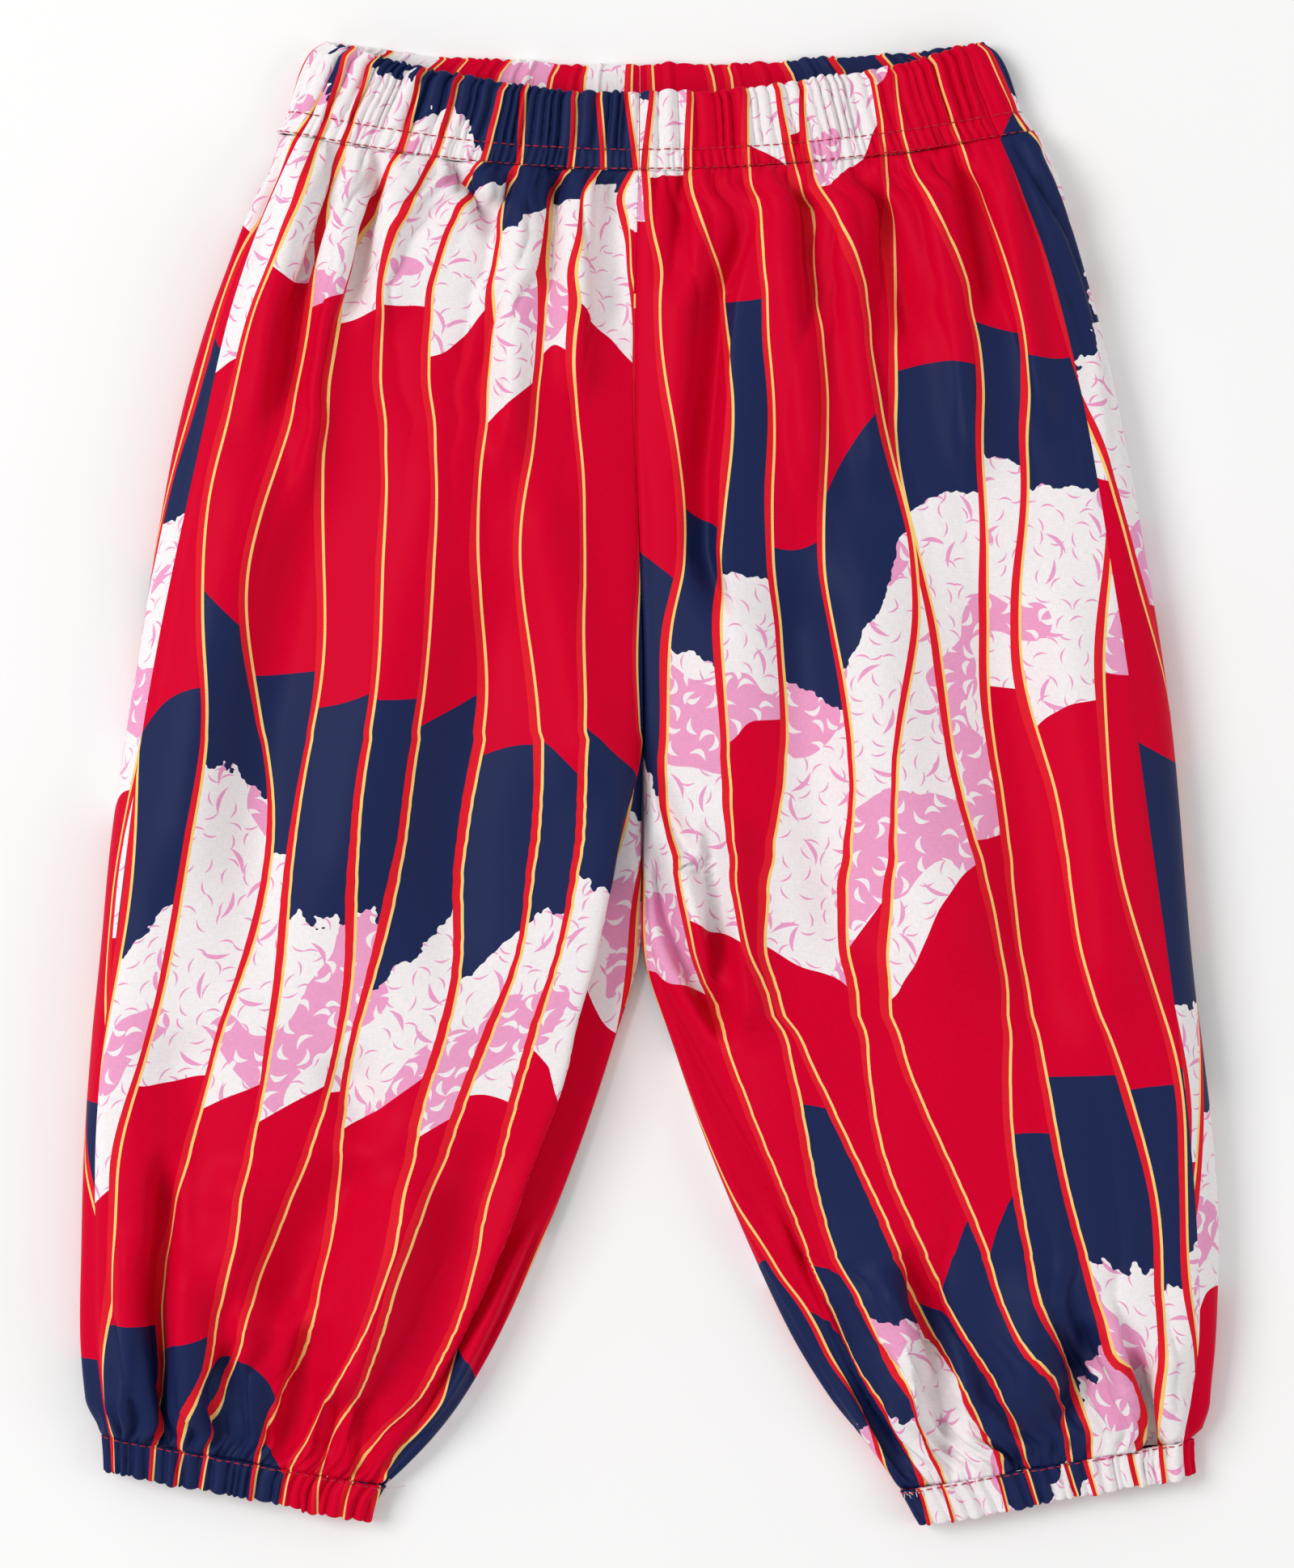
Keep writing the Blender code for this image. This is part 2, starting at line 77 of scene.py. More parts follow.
# Where each half's outer fold, side seam and inner edge lie across, from waist to cuff
outlineColumns = ("y", "outerLeft", "seamLeft", "innerLeft", "outerRight", "seamRight", "innerRight")
outline = (
    (229, -100.8, -93.6, -4.0, 103.8, 95.6, -4.0),
    (227, -104.8, -94.8, -4.0, 106.8, 96.6, -4.0),
    (222, -108.2, -97.8, -4.0, 110.0, 98.6, -4.0),
    (213, -111.0, -102.8, -4.0, 113.2, 102.3, -4.0),
    (207, -113.0, -105.6, -4.0, 115.2, 104.8, -4.0),
    (200, -117.2, -109.0, -4.0, 119.2, 107.6, -4.0),
    (185, -123.3, -115.6, -4.2, 125.2, 113.0, -4.2),
    (165, -129.9, -123.5, -4.6, 130.8, 120.4, -4.6),
    (140, -138.2, -131.0, -5.0, 137.4, 127.3, -5.0),
    (110, -146.0, -137.4, -5.0, 144.6, 133.8, -5.0),
    (75, -153.0, -145.2, -3.8, 151.7, 139.6, -3.8),
    (40, -159.2, -152.4, -2.8, 157.2, 145.0, -2.8),
    (10, -164.4, -157.4, -2.8, 160.6, 149.4, -2.8),
    (-20, -168.6, -161.0, -2.9, 163.4, 153.6, -2.9),
    (-52, -171.2, -165.2, -3.6, 166.8, 158.2, -3.0),
    (-80, -173.4, -168.6, -11.4, 170.4, 161.8, 6.0),
    (-110, -174.7, -171.0, -21.2, 173.4, 165.2, 16.2),
    (-140, -174.7, -171.2, -32.8, 174.6, 167.4, 28.6),
    (-170, -174.2, -171.2, -46.6, 173.0, 168.4, 42.4),
    (-190, -172.4, -169.4, -58.0, 169.6, 166.2, 54.6),
    (-203, -170.4, -167.6, -67.8, 167.4, 164.4, 65.0),
    (-219, -169.6, -167.0, -83.4, 168.2, 165.4, 76.6),
    (-230, -169.6, -167.0, -87.2, 168.2, 165.4, 82.6),
)

# How full the cloth lies, and how it rises beside the centre line
fullnessColumns = ("y", "height", "shoulder", "rim", "centre")
fullness = (
    (228, 11.5, 9, 5.0, 11.5),
    (202, 13.0, 10, 5.5, 13.0),
    (185, 17.0, 14, 6.0, 15.5),
    (160, 20.0, 17, 7.0, 16.5),
    (110, 20.5, 18, 7.0, 16.0),
    (50, 21.0, 18, 7.0, 14.5),
    (10, 21.5, 18, 7.0, 11.5),
    (-20, 22.0, 18, 7.0, 9.0),
    (-60, 23.0, 18, 7.0, 9.0),
    (-110, 23.0, 18, 7.0, 11.0),
    (-160, 20.5, 17, 7.0, 11.5),
    (-188, 15.0, 12, 6.0, 10.0),
    (-203, 11.0, 9, 5.0, 9.0),
    (-213, 10.0, 8, 5.0, 8.5),
)
riseColumns = ("y", "start", "width", "lean", "ledge")
leftRise = (
    (210, 0, 30, 0, 0),
    (60, 0, 26, 0, 0),
    (14, 0, 16, 0, 0),
    (-8, 5.5, 9, 1.6, 0.6),
    (-26, 10.5, 8, 3.6, 2.0),
    (-48, 15.5, 7, 4.6, 3.0),
    (-70, 16, 7, 4.6, 3.0),
    (-92, 14, 7, 4.6, 3.0),
    (-118, 14.5, 7.5, 4.3, 3.0),
    (-140, 13.5, 8, 3.8, 2.6),
    (-165, 12, 9, 2.6, 2.0),
    (-190, 8, 12, 0.6, 0.6),
    (-215, 0, 16, 0, 0),
)
rightRise = (
    (210, 0, 30, 0, 0),
    (60, 0, 30, 0, 0),
    (10, 0, 30, 0, 0),
    (-30, 2, 30, 0, 0),
    (-70, 5, 28, 0, 0),
    (-95, 9, 22, 0, 0),
    (-117, 14, 15, 0.4, 0.5),
    (-140, 15, 10, 1.2, 1.0),
    (-162, 14.5, 9, 1.4, 1.2),
    (-184, 11.5, 8, 0.8, 1.0),
    (-202, 8, 9, 0, 0.6),
    (-215, 4, 12, 0, 0),
)

# Folds of the fronts: route down the cloth as x and y in turn, width on the left
# and on the right of the route, and lift, which is negative for a trough
strokeColumns = ("route", "leftWidth", "rightWidth", "lift")
leftStrokes = (
    ((-104, 198, -116, 150, -122, 110), 5, 5, 2.0),
    ((-97, 197, -108, 150, -114, 115), 3, 5, -2.4),
    ((-91, 195, -100, 150, -106, 90), 5, 6, 2.4),
    ((-83, 194, -92, 146), 3, 5, -2.8),
    ((-77, 192, -84, 140), 5, 6, 2.2),
    ((-63, 192, -56, 181, -50, 171), 2.2, 4.5, -3.8),
    ((-55, 190, -46, 172), 4, 4, 2.2),
    ((-42, 186, -50, 170), 3.5, 3, -2.4),
    ((-37, 192, -43, 140, -44, 100), 5, 6, 2.8),
    ((-29, 191, -31, 150), 3, 4, -2.6),
    ((-21, 190, -22, 120), 5, 5, 2.2),
    ((-12, 188, -13, 140), 4, 4, -2.0),
    ((-120, 100, -134, 40, -146, -30), 12, 15, 2.4),
    ((-104, 84, -118, 20, -122, -60), 12, 12, -2.2),
    ((-62, 110, -80, 30, -96, -40), 15, 18, 2.8),
    ((-46, 60, -60, -10, -62, -60), 11, 11, -2.0),
    ((-34, 90, -26, 40, -20, 0), 10, 10, 2.2),
    ((-150, -118, -150.5, -133, -151.5, -158, -150, -183, -150.5, -204), 3.2, 4.2, -4.6),
    ((-161, -140, -161, -197), 5, 5, 1.8),
    ((-143, -146, -142.5, -197), 4, 8, 2.4),
    ((-131, -174, -131.5, -208), 3.4, 5, -2.0),
    ((-126, -160, -125, -204), 4, 6, 1.8),
    ((-104, -166, -109, -188, -115, -207), 3.5, 6, -3.0),
    ((-95, -186, -102, -212), 3, 4, -3.4),
    ((-88, -192, -92, -214), 2.6, 4, -2.8),
    ((-91, -116, -105, -140, -114, -163), 10, 9, -3.2),
    ((-70, -122, -80, -147, -94, -188), 9, 8, 3.8),
    ((-50, -108, -60, -147, -71, -183), 8, 7, -2.2),
    ((-145, -78, -139, -112, -136, -140), 10, 12, -2.0),
    ((-37, -137, -49, -163, -61, -187, -71, -203), 3.2, 1.5, 1.8),
    ((-33.5, -137, -45.5, -163, -58, -188), 1.4, 3.2, -2.4),
    ((-129, -118, -126, -160), 9, 9, 2.0),
    ((-96, -84, -84, -108), 8, 9, -2.8),
)
rightStrokes = (
    ((32, 168, 25.5, 149, 23.5, 126, 20.5, 96, 20.5, 72, 25, 54), 1.7, 17, 2.7),
    ((28.5, 168, 22, 149, 20, 126, 17, 96, 17, 72, 21.5, 54), 5, 1.7, -2.4),
    ((14, 172, 8, 140, 7, 96), 5, 5, 1.2),
    ((9, 190, 7, 150), 4, 4, -1.8),
    ((37, 190, 42, 150, 50, 90), 6, 9, 2.8),
    ((45, 186, 49, 140), 3, 5, -2.6),
    ((56, 186, 64, 136, 68, 90), 6, 7, 2.4),
    ((71, 186, 79, 136), 3.5, 5, -2.6),
    ((84, 187, 92, 140, 98, 95), 6, 7, 2.6),
    ((96, 189, 103, 146), 3.5, 5, -2.4),
    ((106, 193, 114, 146, 120, 110), 5, 5, 2.2),
    ((62, 76, 72, 10, 92, -60), 15, 16, 2.8),
    ((44, 60, 48, 10, 60, -50), 10, 11, -2.4),
    ((126, 60, 134, 0, 140, -70), 11, 13, 2.4),
    ((104, 60, 112, 0, 122, -80), 11, 11, -2.2),
    ((-1, -20, 4, -42, 9, -54, 22, -76), 2.6, 3.6, -4.4),
    ((1, 0, 7, -14, 16, -32), 2, 3.4, -2.2),
    ((9, -24, 15, -47, 24, -68), 4, 3, 2.2),
    ((17, -16, 18.5, -44, 21, -72), 1.8, 4.5, -3.0),
    ((23, -8, 25, -38, 30, -76), 3.4, 8, 2.8),
    ((40, -130, 44.5, -145, 54, -163, 64.5, -189, 76, -210), 4.5, 1.8, 1.0),
    ((43.5, -130, 48.5, -145, 58, -163, 68.5, -189, 79, -210), 3.6, 4.5, -2.9),
    ((70, -150, 78.5, -172, 82, -200), 7, 4, 3.2),
    ((79, -146, 85.5, -172, 88.5, -190, 93, -210), 3.4, 6, -3.6),
    ((93, -180, 99, -196, 110, -208), 3, 4, 2.0),
    ((96, -192, 104, -203, 117, -213), 2.6, 3.6, -2.6),
    ((120, -150, 116, -196), 9, 8, 2.4),
    ((133, -168, 129, -184, 125, -198), 7, 6, -3.6),
    ((141, -160, 145, -184, 149, -204), 6, 2.6, 2.6),
    ((146, -176, 151, -190, 154, -202, 150, -210), 2.4, 5, -3.8),
    ((160, -170, 160, -205), 5, 4, 1.8),
)
# Folds of the backs, where they lie on the floor
leftBackStrokes = (
    ((-118, 197, -126, 150, -131, 100), 3, 6, -1.7),
    ((-92, 196, -99, 146), 3, 5, -1.3),
    ((-64, 196, -71, 130, -86, 62), 4, 7, -1.8),
    ((-33, 195, -36, 152), 3, 4, -1.2),
    ((-14, 34, -36, -12, -70, -58), 4, 9, -2.0),
    ((-118, 16, -128, -66), 6, 9, -1.3),
    ((-58, -106, -84, -150, -97, -198), 4, 7, -1.8),
    ((-122, -138, -126, -199), 3, 6, -1.6),
    ((-146, -166, -148, -200), 2.6, 4, -1.4),
)
rightBackStrokes = (
    ((24, 196, 27, 138), 3, 5, -1.5),
    ((52, 196, 61, 126, 74, 78), 7, 4, -1.9),
    ((83, 196, 91, 150), 4, 3, -1.3),
    ((110, 197, 119, 148, 124, 112), 5, 3, -1.6),
    ((12, 22, 30, -26, 66, -72), 9, 4, -2.1),
    ((100, 52, 112, -28), 9, 6, -1.4),
    ((52, -118, 74, -156, 88, -200), 7, 4, -1.9),
    ((110, -150, 114, -200), 5, 3, -1.5),
    ((134, -120, 141, -172, 143, -200), 6, 3, -1.6),
)
# How far a fold runs on past its ends and over what length it fades, as a
# share of its own length and at least so many millimetres
strokeEnds = {"overrun": 0.1, "shortestOverrun": 5.0, "fade": 0.24, "shortestFade": 14.0}

leftHalf = {
    "name": "Left",
    "inward": 1,  # the way along X to the inner leg
    "rise": leftRise,
    "strokes": leftStrokes,
    "backStrokes": leftBackStrokes,
    "cuffLift": 1.4,  # how much higher this cuff lies
}
rightHalf = {
    "name": "Right",
    "inward": -1,
    "rise": rightRise,
    "strokes": rightStrokes,
    "backStrokes": rightBackStrokes,
    "cuffLift": 0.0,
}


def curveAt(columns, rows, name, y):
    # value of a table's named column, on a smooth curve
    keys = np.array([row[0] for row in rows][::-1], float)
    values = np.array([row[columns.index(name)] for row in rows][::-1], float)
    y = np.clip(np.asarray(y, float), keys[0], keys[-1])
    place = np.clip(np.searchsorted(keys, y) - 1, 0, len(keys) - 2)
    before, after = np.maximum(place - 1, 0), np.minimum(place + 2, len(keys) - 1)
    low, high, start, end = keys[place], keys[place + 1], values[place], values[place + 1]
    startSlope = (end - values[before]) / (high - keys[before])
    endSlope = (values[after] - start) / (keys[after] - low)
    span = high - low
    t = (y - low) / span
    pulls = t * (1 - t) ** 2 * startSlope * span - t * t * (1 - t) * endSlope * span
    return start + (end - start) * t * t * (3 - 2 * t) + pulls


def soft(value):
    value = np.clip(value, 0.0, 1.0)
    return value * value * (3 - 2 * value)


def outlineAt(half, name, y):
    return curveAt(outlineColumns, outline, name + half["name"], y)


def legClosing(y):
    # 0 above the crotch and 1 along the legs
    return soft((plan["crotchStart"] - y) / (plan["crotchStart"] - plan["crotchEnd"]))


def sagAt(half, y, across, drop):
    # how far a row hangs down, more at its sides, at the waist and above the cuff
    waist = np.clip(1 - (plan["lowerStitching"] - y) / plan["waistDropReach"], 0, 1)
    cuff = np.clip(1 - (y - plan["cuffStitching"]) / plan["cuffDropReach"], 0, 1)
    cuffSag = (plan["cuffDrop"] * across - half["cuffLift"]) * cuff ** 2
    return drop * waist ** 2 * (1 - (1 - across) ** 2) + cuffSag


def rowSpot(half, y, across, drop):
    outer = outlineAt(half, "outer", y)
    inner = outlineAt(half, "inner", y - sagAt(half, y, 1.0, drop))
    inner = inner + np.sign(outer) * plan["legGap"] / 2 * legClosing(y)
    return outer + (inner - outer) * across, y - sagAt(half, y, across, drop)


def strokeLift(strokes, x, y):
    # sum of the folds at points of the cloth
    total = np.zeros(np.broadcast(x, y).shape)
    for row in strokes:
        stroke = dict(zip(strokeColumns, row))
        route = np.reshape(stroke["route"], (-1, 2)).astype(float)
        lengths = [float(np.linalg.norm(b - a)) for a, b in zip(route, route[1:])]
        travelled = 0.0
        nearest = np.full(total.shape, math.inf)
        aside, along = np.zeros(total.shape), np.zeros(total.shape)
        for number, (start, end) in enumerate(zip(route, route[1:])):
            way = (end - start) / lengths[number]
            low = -math.inf if number == 0 else 0.0
            high = math.inf if number == len(lengths) - 1 else lengths[number]
            held = np.clip((x - start[0]) * way[0] + (y - start[1]) * way[1], low, high)
            distance = np.hypot(x - start[0] - way[0] * held, y - start[1] - way[1] * held)
            signed = np.where((x - start[0]) * way[1] - (y - start[1]) * way[0] > 0, -1.0, 1.0)
            closer = distance < nearest
            nearest = np.where(closer, distance, nearest)
            aside = np.where(closer, distance * signed, aside)
            along = np.where(closer, travelled + held, along)
            travelled += lengths[number]
        over = max(strokeEnds["overrun"] * travelled, strokeEnds["shortestOverrun"])
        ease = max(strokeEnds["fade"] * travelled, strokeEnds["shortestFade"])
        fade = soft((along + over) / ease) * soft((travelled + over - along) / ease)
        width = np.where(aside < 0, stroke["leftWidth"], stroke["rightWidth"])
        total = total + plan["foldDepth"] * stroke["lift"] * fade * np.exp(-((aside / width) ** 2))
    return total


# How closely a row is read before its columns are placed, and how often the
# seam's place and the cloth taken up are evened from row to row
readSteps = {"edge": 24, "top": 300, "fold": 36, "floor": 90, "seamEvening": 30, "takenEvening": 8}


def evened(values, times):
    values = np.array(values)
    for _ in range(times):
        values[1:-1] = (values[:-2] + 2 * values[1:-1] + values[2:]) / 4
    return values


def readRows(half, ys, frontDrop, backDrop, plain=False):
    # each row runs from the centre seam or inseam over the top to the outer
    # fold and back underneath
    y = np.asarray(ys, float)[:, None]
    height, shoulder, rim, centre = (
        curveAt(fullnessColumns, fullness, name, y) for name in fullnessColumns[1:]
    )
    start, rise, lean, ledge = (
        curveAt(riseColumns, half["rise"], name, y) for name in riseColumns[1:]
    )
    squareness = 2 + plan["rollSquareness"] * lean
    lean = lean * half["inward"]
    centre = centre - ledge
    closed = legClosing(y)
    width = np.abs(rowSpot(half, y, 1.0, frontDrop)[0] - outlineAt(half, "outer", y))

    def crown(across):
        if plain:
            return height + 0 * across
        inside = (1 - across) * width
        t = np.clip((inside - start) / rise, 0, 1)
        top = centre + (height - centre) * (1 - (1 - t) ** squareness) ** (1 / squareness)
        x, place = rowSpot(half, y, across, frontDrop)
        room = np.minimum(inside, across * width - shoulder * plan["foldStart"])
        return top + soft(room / plan["foldMargin"]) * strokeLift(half["strokes"], x, place)

    def leaning(across):
        # the rise rolls over towards the inner leg
        if plain:
            return 0 * across
        t = ((1 - across) * width - start) / rise
        return lean * soft(t / plan["leanStart"]) * soft((plan["leanEnd"] - t) / plan["leanFade"])

    def quarter(count, last=False):
        return np.linspace(0, math.pi / 2, count + (1 if last else 0), endpoint=last)[None, :]

    def level(count):
        return np.linspace(0, 1, count, endpoint=False)[None, :]

    def lifted(way):
        # how far the edge at the inner leg is rounded away
        return 1 - np.sqrt(np.maximum(0, 1 - (closed * way) ** 2))

    over, under = [], []
    reach = np.cos(quarter(readSteps["edge"]))  # rounding at the inner leg edge
    across = 1 - plan["innerCorner"] * (1 - reach) / width
    top = crown(across)
    over.append((across, top - (top - plan["innerSeamHeight"]) * lifted(reach)))
    near, far = 1 - plan["innerCorner"] / width, shoulder / width
    across = near + (far - near) * level(readSteps["top"])  # the puffed top
    over.append((across, crown(across)))
    angle = quarter(readSteps["fold"])  # over the outer fold and down
    across = shoulder * (1 - np.sin(angle)) / width
    over.append((across, rim + (crown(across) - rim) * np.cos(angle)))
    across = plan["floorCorner"] * (1 - np.cos(angle)) / width
    under.append((across, rim * (1 - np.sin(angle))))
    near, far = plan["floorCorner"] / width, near
    across = near + (far - near) * level(readSteps["floor"])  # flat on the floor
    under.append((across, 0 * across))
    reach = np.sin(quarter(readSteps["edge"], last=True))  # up to the inseam
    across = far + (1 - far) * reach
    under.append((across, plan["innerSeamHeight"] * lifted(reach)))

    parts = []
    for stretches, drop, leans in ((over, frontDrop, True), (under, backDrop, False)):
        for across, z in stretches:
            x, place = rowSpot(half, y, across, drop)
            x = x + (leaning(across) if leans else 0)
            parts.append(np.stack(np.broadcast_arrays(x, place, z), axis=2))
    points = np.concatenate(parts, axis=1)
    lengths = np.zeros(points.shape[:2])
    lengths[:, 1:] = np.cumsum(np.linalg.norm(np.diff(points, axis=1), axis=2), axis=1)

    midTop = readSteps["edge"] + readSteps["top"] // 2
    foldEnd = readSteps["edge"] + readSteps["top"] + readSteps["fold"]
    fromFold = []
    for row, seamX in enumerate(np.abs(outlineAt(half, "seam", y))[:, 0]):
        # outward along the row, so that the places rise
        xs = np.maximum.accumulate(np.abs(points[row, midTop:foldEnd, 0]))
        fromFold.append(lengths[row, foldEnd] - np.interp(seamX, xs, lengths[row, midTop:foldEnd]))
    return points, lengths, lengths[:, foldEnd] - evened(fromFold, readSteps["seamEvening"])


def readGrid(rows, part, shares, clothLengths, gaps=(1, 1)):
    # points at shares of each row's width, from the centre line to the side
    # seam, and how far across the cloth they lie
    points, lengths, seam = rows
    isFront = part == "front"
    centreGap, sideGap = (plan["seamGap"] / 2 * gap for gap in gaps)
    starts = 0 * seam + centreGap if isFront else lengths[:, -1] - centreGap
    ends = seam - sideGap if isFront else seam + sideGap
    count = readSteps["edge"] + readSteps["top" if isFront else "floor"] // 2
    grid = np.zeros((len(points), len(shares), 3))
    across = np.zeros((len(points), len(shares)))
    taken = np.zeros(len(points))
    for row, run in enumerate(clothLengths):
        wanted = starts[row] + (ends[row] - starts[row]) * shares
        for k in range(3):
            grid[row, :, k] = np.interp(wanted, lengths[row], points[row, :, k])
        across[row] = np.abs(np.interp(wanted, lengths[row], run) - run[0 if isFront else -1])
        # cloth that the inner edge and its folds take up, beyond the plan's own width
        line = points[row] if isFront else points[row][::-1]
        fromInside = run if isFront else run[-1] - run[::-1]
        away = np.maximum.accumulate(np.abs(line[:count, 0] - line[0, 0]))
        taken[row] = np.interp(plan["innerReach"], away, fromInside[:count]) - plan["innerReach"]
    return grid, np.abs(ends - starts), across, evened(taken, readSteps["takenEvening"])


def gridNormals(grid, part):
    # the ways that the cloth faces: up on the whole at the front, down at the back
    along, down = np.gradient(grid, axis=1), np.gradient(grid, axis=0)
    ways = np.cross(along, down)
    ways = ways / np.maximum(np.linalg.norm(ways, axis=2, keepdims=True), 1e-9)
    return ways if (ways[:, :, 2].sum() > 0) == (part == "front") else -ways


# Gathers at the elastic, counted along the cloth
gathers = {
    "seed": 11,
    "betweenPitch": 2.3,  # between the two rows of stitching at the waist
    "unevenness": 0.62,  # how much the pitch changes from crest to crest
    "sharpness": 0.7,  # below 1 the valleys are narrower than the crests
    "lowestCrest": 0.4,  # as a share of the highest one
    "level": 0.45,  # where the cloth's own level lies between valley and crest
    "spareTimes": 1.8,  # crests are drawn for more cloth than there is
    "spareCrests": 10,
    "wanderSize": 12,  # how the ridges sway aside, across the cloth and along them
    "wanderLength": 30,
    "fading": 1.6,  # how sharply a ridge ends at its reach
}
# Two slow waves that cross: height, how often across and down, and turn for each seed
wanderColumns = ("height", "across", "down", "turn")
wanderWaves = ((0.6, 1.0, 1.0, 1.7), (0.4, 2.3, -1.9, 2.9))


def ridges(place, width, pitch, seed):
    source = np.random.default_rng(seed)
    count = int(width / pitch * gathers["spareTimes"]) + gathers["spareCrests"]
    gaps = pitch * (1 + gathers["unevenness"] * source.uniform(-1, 1, count))
    edges = np.concatenate(([0.0], np.cumsum(gaps)))
    heights = source.uniform(gathers["lowestCrest"], 1.0, count + 2)
    phase = np.interp(place, edges, np.arange(count + 1))
    number = np.clip(phase.astype(int), 0, count)
    crests = np.abs(np.sin(np.pi * phase)) ** gathers["sharpness"] * heights[number]
    return crests - gathers["level"]


def wander(x, y, size, stretch, seed):
    # slow change over the cloth, between about -1 and 1
    total = 0.0
    for row in wanderWaves:
        wave = dict(zip(wanderColumns, row))
        turned = x / size * wave["across"] + seed * wave["turn"] + y / stretch * wave["down"]
        total = total + wave["height"] * np.sin(turned)
    return total


def dip(distance, depth, width):
    return -depth * np.exp(-((distance / width) ** 2))


def eased(lift, distance, reach, least):
    # lowers a lift towards an edge, to the least share of itself
    return lift * (least + (1 - least) * soft(distance / reach))


def keepAbove(grid, least):
    grid[:, :, 2] = np.maximum(grid[:, :, 2], least)


def placeObject(name, data):
    made = bpy.data.objects.new(name, data)
    bpy.context.scene.collection.objects.link(made)
    return made


def sheetObject(name, grid, printed, seen, thickness):
    # a grid of the cloth, moved to its form, with the print's place as its UV map;
    # seen is a point of it and the way that the cloth faces there
    rows, columns = grid.shape[:2]
    model = bmesh.new()
    bmesh.ops.create_grid(model, x_segments=columns - 1, y_segments=rows - 1, size=1)
    mesh = bpy.data.meshes.new(name)
    model.to_mesh(mesh)
    model.free()
    mesh.vertices.foreach_set("co", (grid * metres).astype(np.float32).ravel())
    corner = np.zeros(len(mesh.loops), np.int32)
    mesh.loops.foreach_get("vertex_index", corner)
    layer = mesh.uv_layers.new(name="flatCut")
    layer.data.foreach_set("uv", printed.reshape(-1, 2)[corner].astype(np.float32).ravel())
    mesh.update()
    probe = Vector(seen[0] * metres)
    nearest = min(mesh.polygons, key=lambda face: (face.center - probe).length)
    if nearest.normal.dot(Vector(seen[1])) < 0:
        mesh.flip_normals()
    mesh.shade_smooth()
    piece = placeObject(name, mesh)
    shell = piece.modifiers.new("thickness", "SOLIDIFY")
    shell.thickness = thickness * metres
    shell.offset = -1
    return piece


def turnIn(grid, ways, printed, turned, edges):
    # runs a sheet on at the named edges, down into its seams
    count = turned["turningSteps"]
    fall = turned["turning"] * np.arange(1, count + 1) / count
    for edge in edges:
        axis = 1 if edge in ("first", "last") else 0
        before = edge in ("first", "top")
        pads = [(0, 0)] * 3
        pads[axis] = (count, 0) if before else (0, count)
        grid, ways, printed = (np.pad(field, pads, mode="edge") for field in (grid, ways, printed))
        sink = np.zeros(grid.shape[axis])
        sink[:count] = fall[::-1] if before else 0
        sink[-count:] = 0 if before else fall
        grid = grid - ways * (sink[None, :, None] if axis else sink[:, None, None])
    keepAbove(grid, 0.0)
    return grid, printed


# Where each cut piece lay on the printed cloth, in millimetres
printPlaces = {
    "frontLeft": (0, 0),
    "frontRight": (411, 137),
    "backLeft": (823, 61),
    "backRight": (1237, 203),
}
printUnit = 0.01  # one unit of the print's map is 100 mm of cloth

# Widths that the fronts and backs were cut to, which the print is laid on,
# without the cloth that is taken up at the inner leg
cutColumns = ("y", "front", "back")
cutWidths = (
    (230, 146, 156),
    (120, 150, 165),
    (0, 160, 176),
    (-80, 158, 174),
    (-214, 138, 150),
)


def printMap(across, ys, taken, part, half):
    width = curveAt(cutColumns, cutWidths, part, ys)[:, None]
    taken = taken[:, None]
    across = (across - taken) / (across[:, -1:] - taken) * width * -half["inward"]
    down = (plan["lowerStitching"] - np.asarray(ys))[:, None] + 0 * across
    moveX, moveY = printPlaces[part + half["name"]]
    return np.stack((across + moveX, down + moveY), axis=2) * printUnit


# The four panels of the body and legs. A dip is its depth and width, and an
# easing its reach from the edge and the share of the lift that is left there
panels = {
    "thickness": 0.5,
    "frontColumns": 178,
    "backColumns": 116,
    "rows": 244,
    "edgeColumn": 0.0003,  # a column this close to each seam, as a share of the width
    "rowCrowding": 0.085,
    "seeds": {"frontLeft": 1, "frontRight": 2, "backLeft": 5, "backRight": 6},
    "cuffSeedStep": 20,
    "undulation": 1.1,
    "undulationSize": 17,
    "undulationLength": 62,
    "seamEasing": (5, 0.05),
    "seamDip": (0.15, 0.8),
    "stitchDip": (0.35, 0.9),
    "turning": 0.5,
    "turningSteps": 2,
    "facingSpot": (120, 60),  # a row and column, where the way the cloth faces is read
}
# Gathers run out of the elastic as ridges: pitch, height, where they begin to
# show, how far they reach and how far they lean aside, away from the elastic
gatherColumns = ("pitch", "height", "rise", "reach", "lean")
waistGathers = (
    (4.2, 2.1, 0.1, 8, 0.0),
    (7.6, 3.2, 5, 26, 2.0),
    (13, 4.9, 18, 72, 4.0),
)
cuffGathers = (
    (3.3, 2.2, 0.1, 7, 0.0),
    (6.5, 4.2, 4, 20, 1.5),
    (14, 5.6, 12, 52, 3.5),
)


def gatherLift(rows, away, shares, width, seed):
    place = shares[None, :] * width
    lift = 0.0
    for number, row in enumerate(rows):
        gather = dict(zip(gatherColumns, row))
        sway = wander(place, away, gathers["wanderSize"], gathers["wanderLength"], seed + number)
        show = np.exp(-(np.maximum(away, 0) / gather["reach"]) ** gathers["fading"])
        show = soft(away / gather["rise"]) * show
        lineSeed = gathers["seed"] + seed * 10 + number
        pattern = ridges(place + gather["lean"] * sway, width, gather["pitch"], lineSeed)
        lift = lift + gather["height"] * show * pattern
    return lift


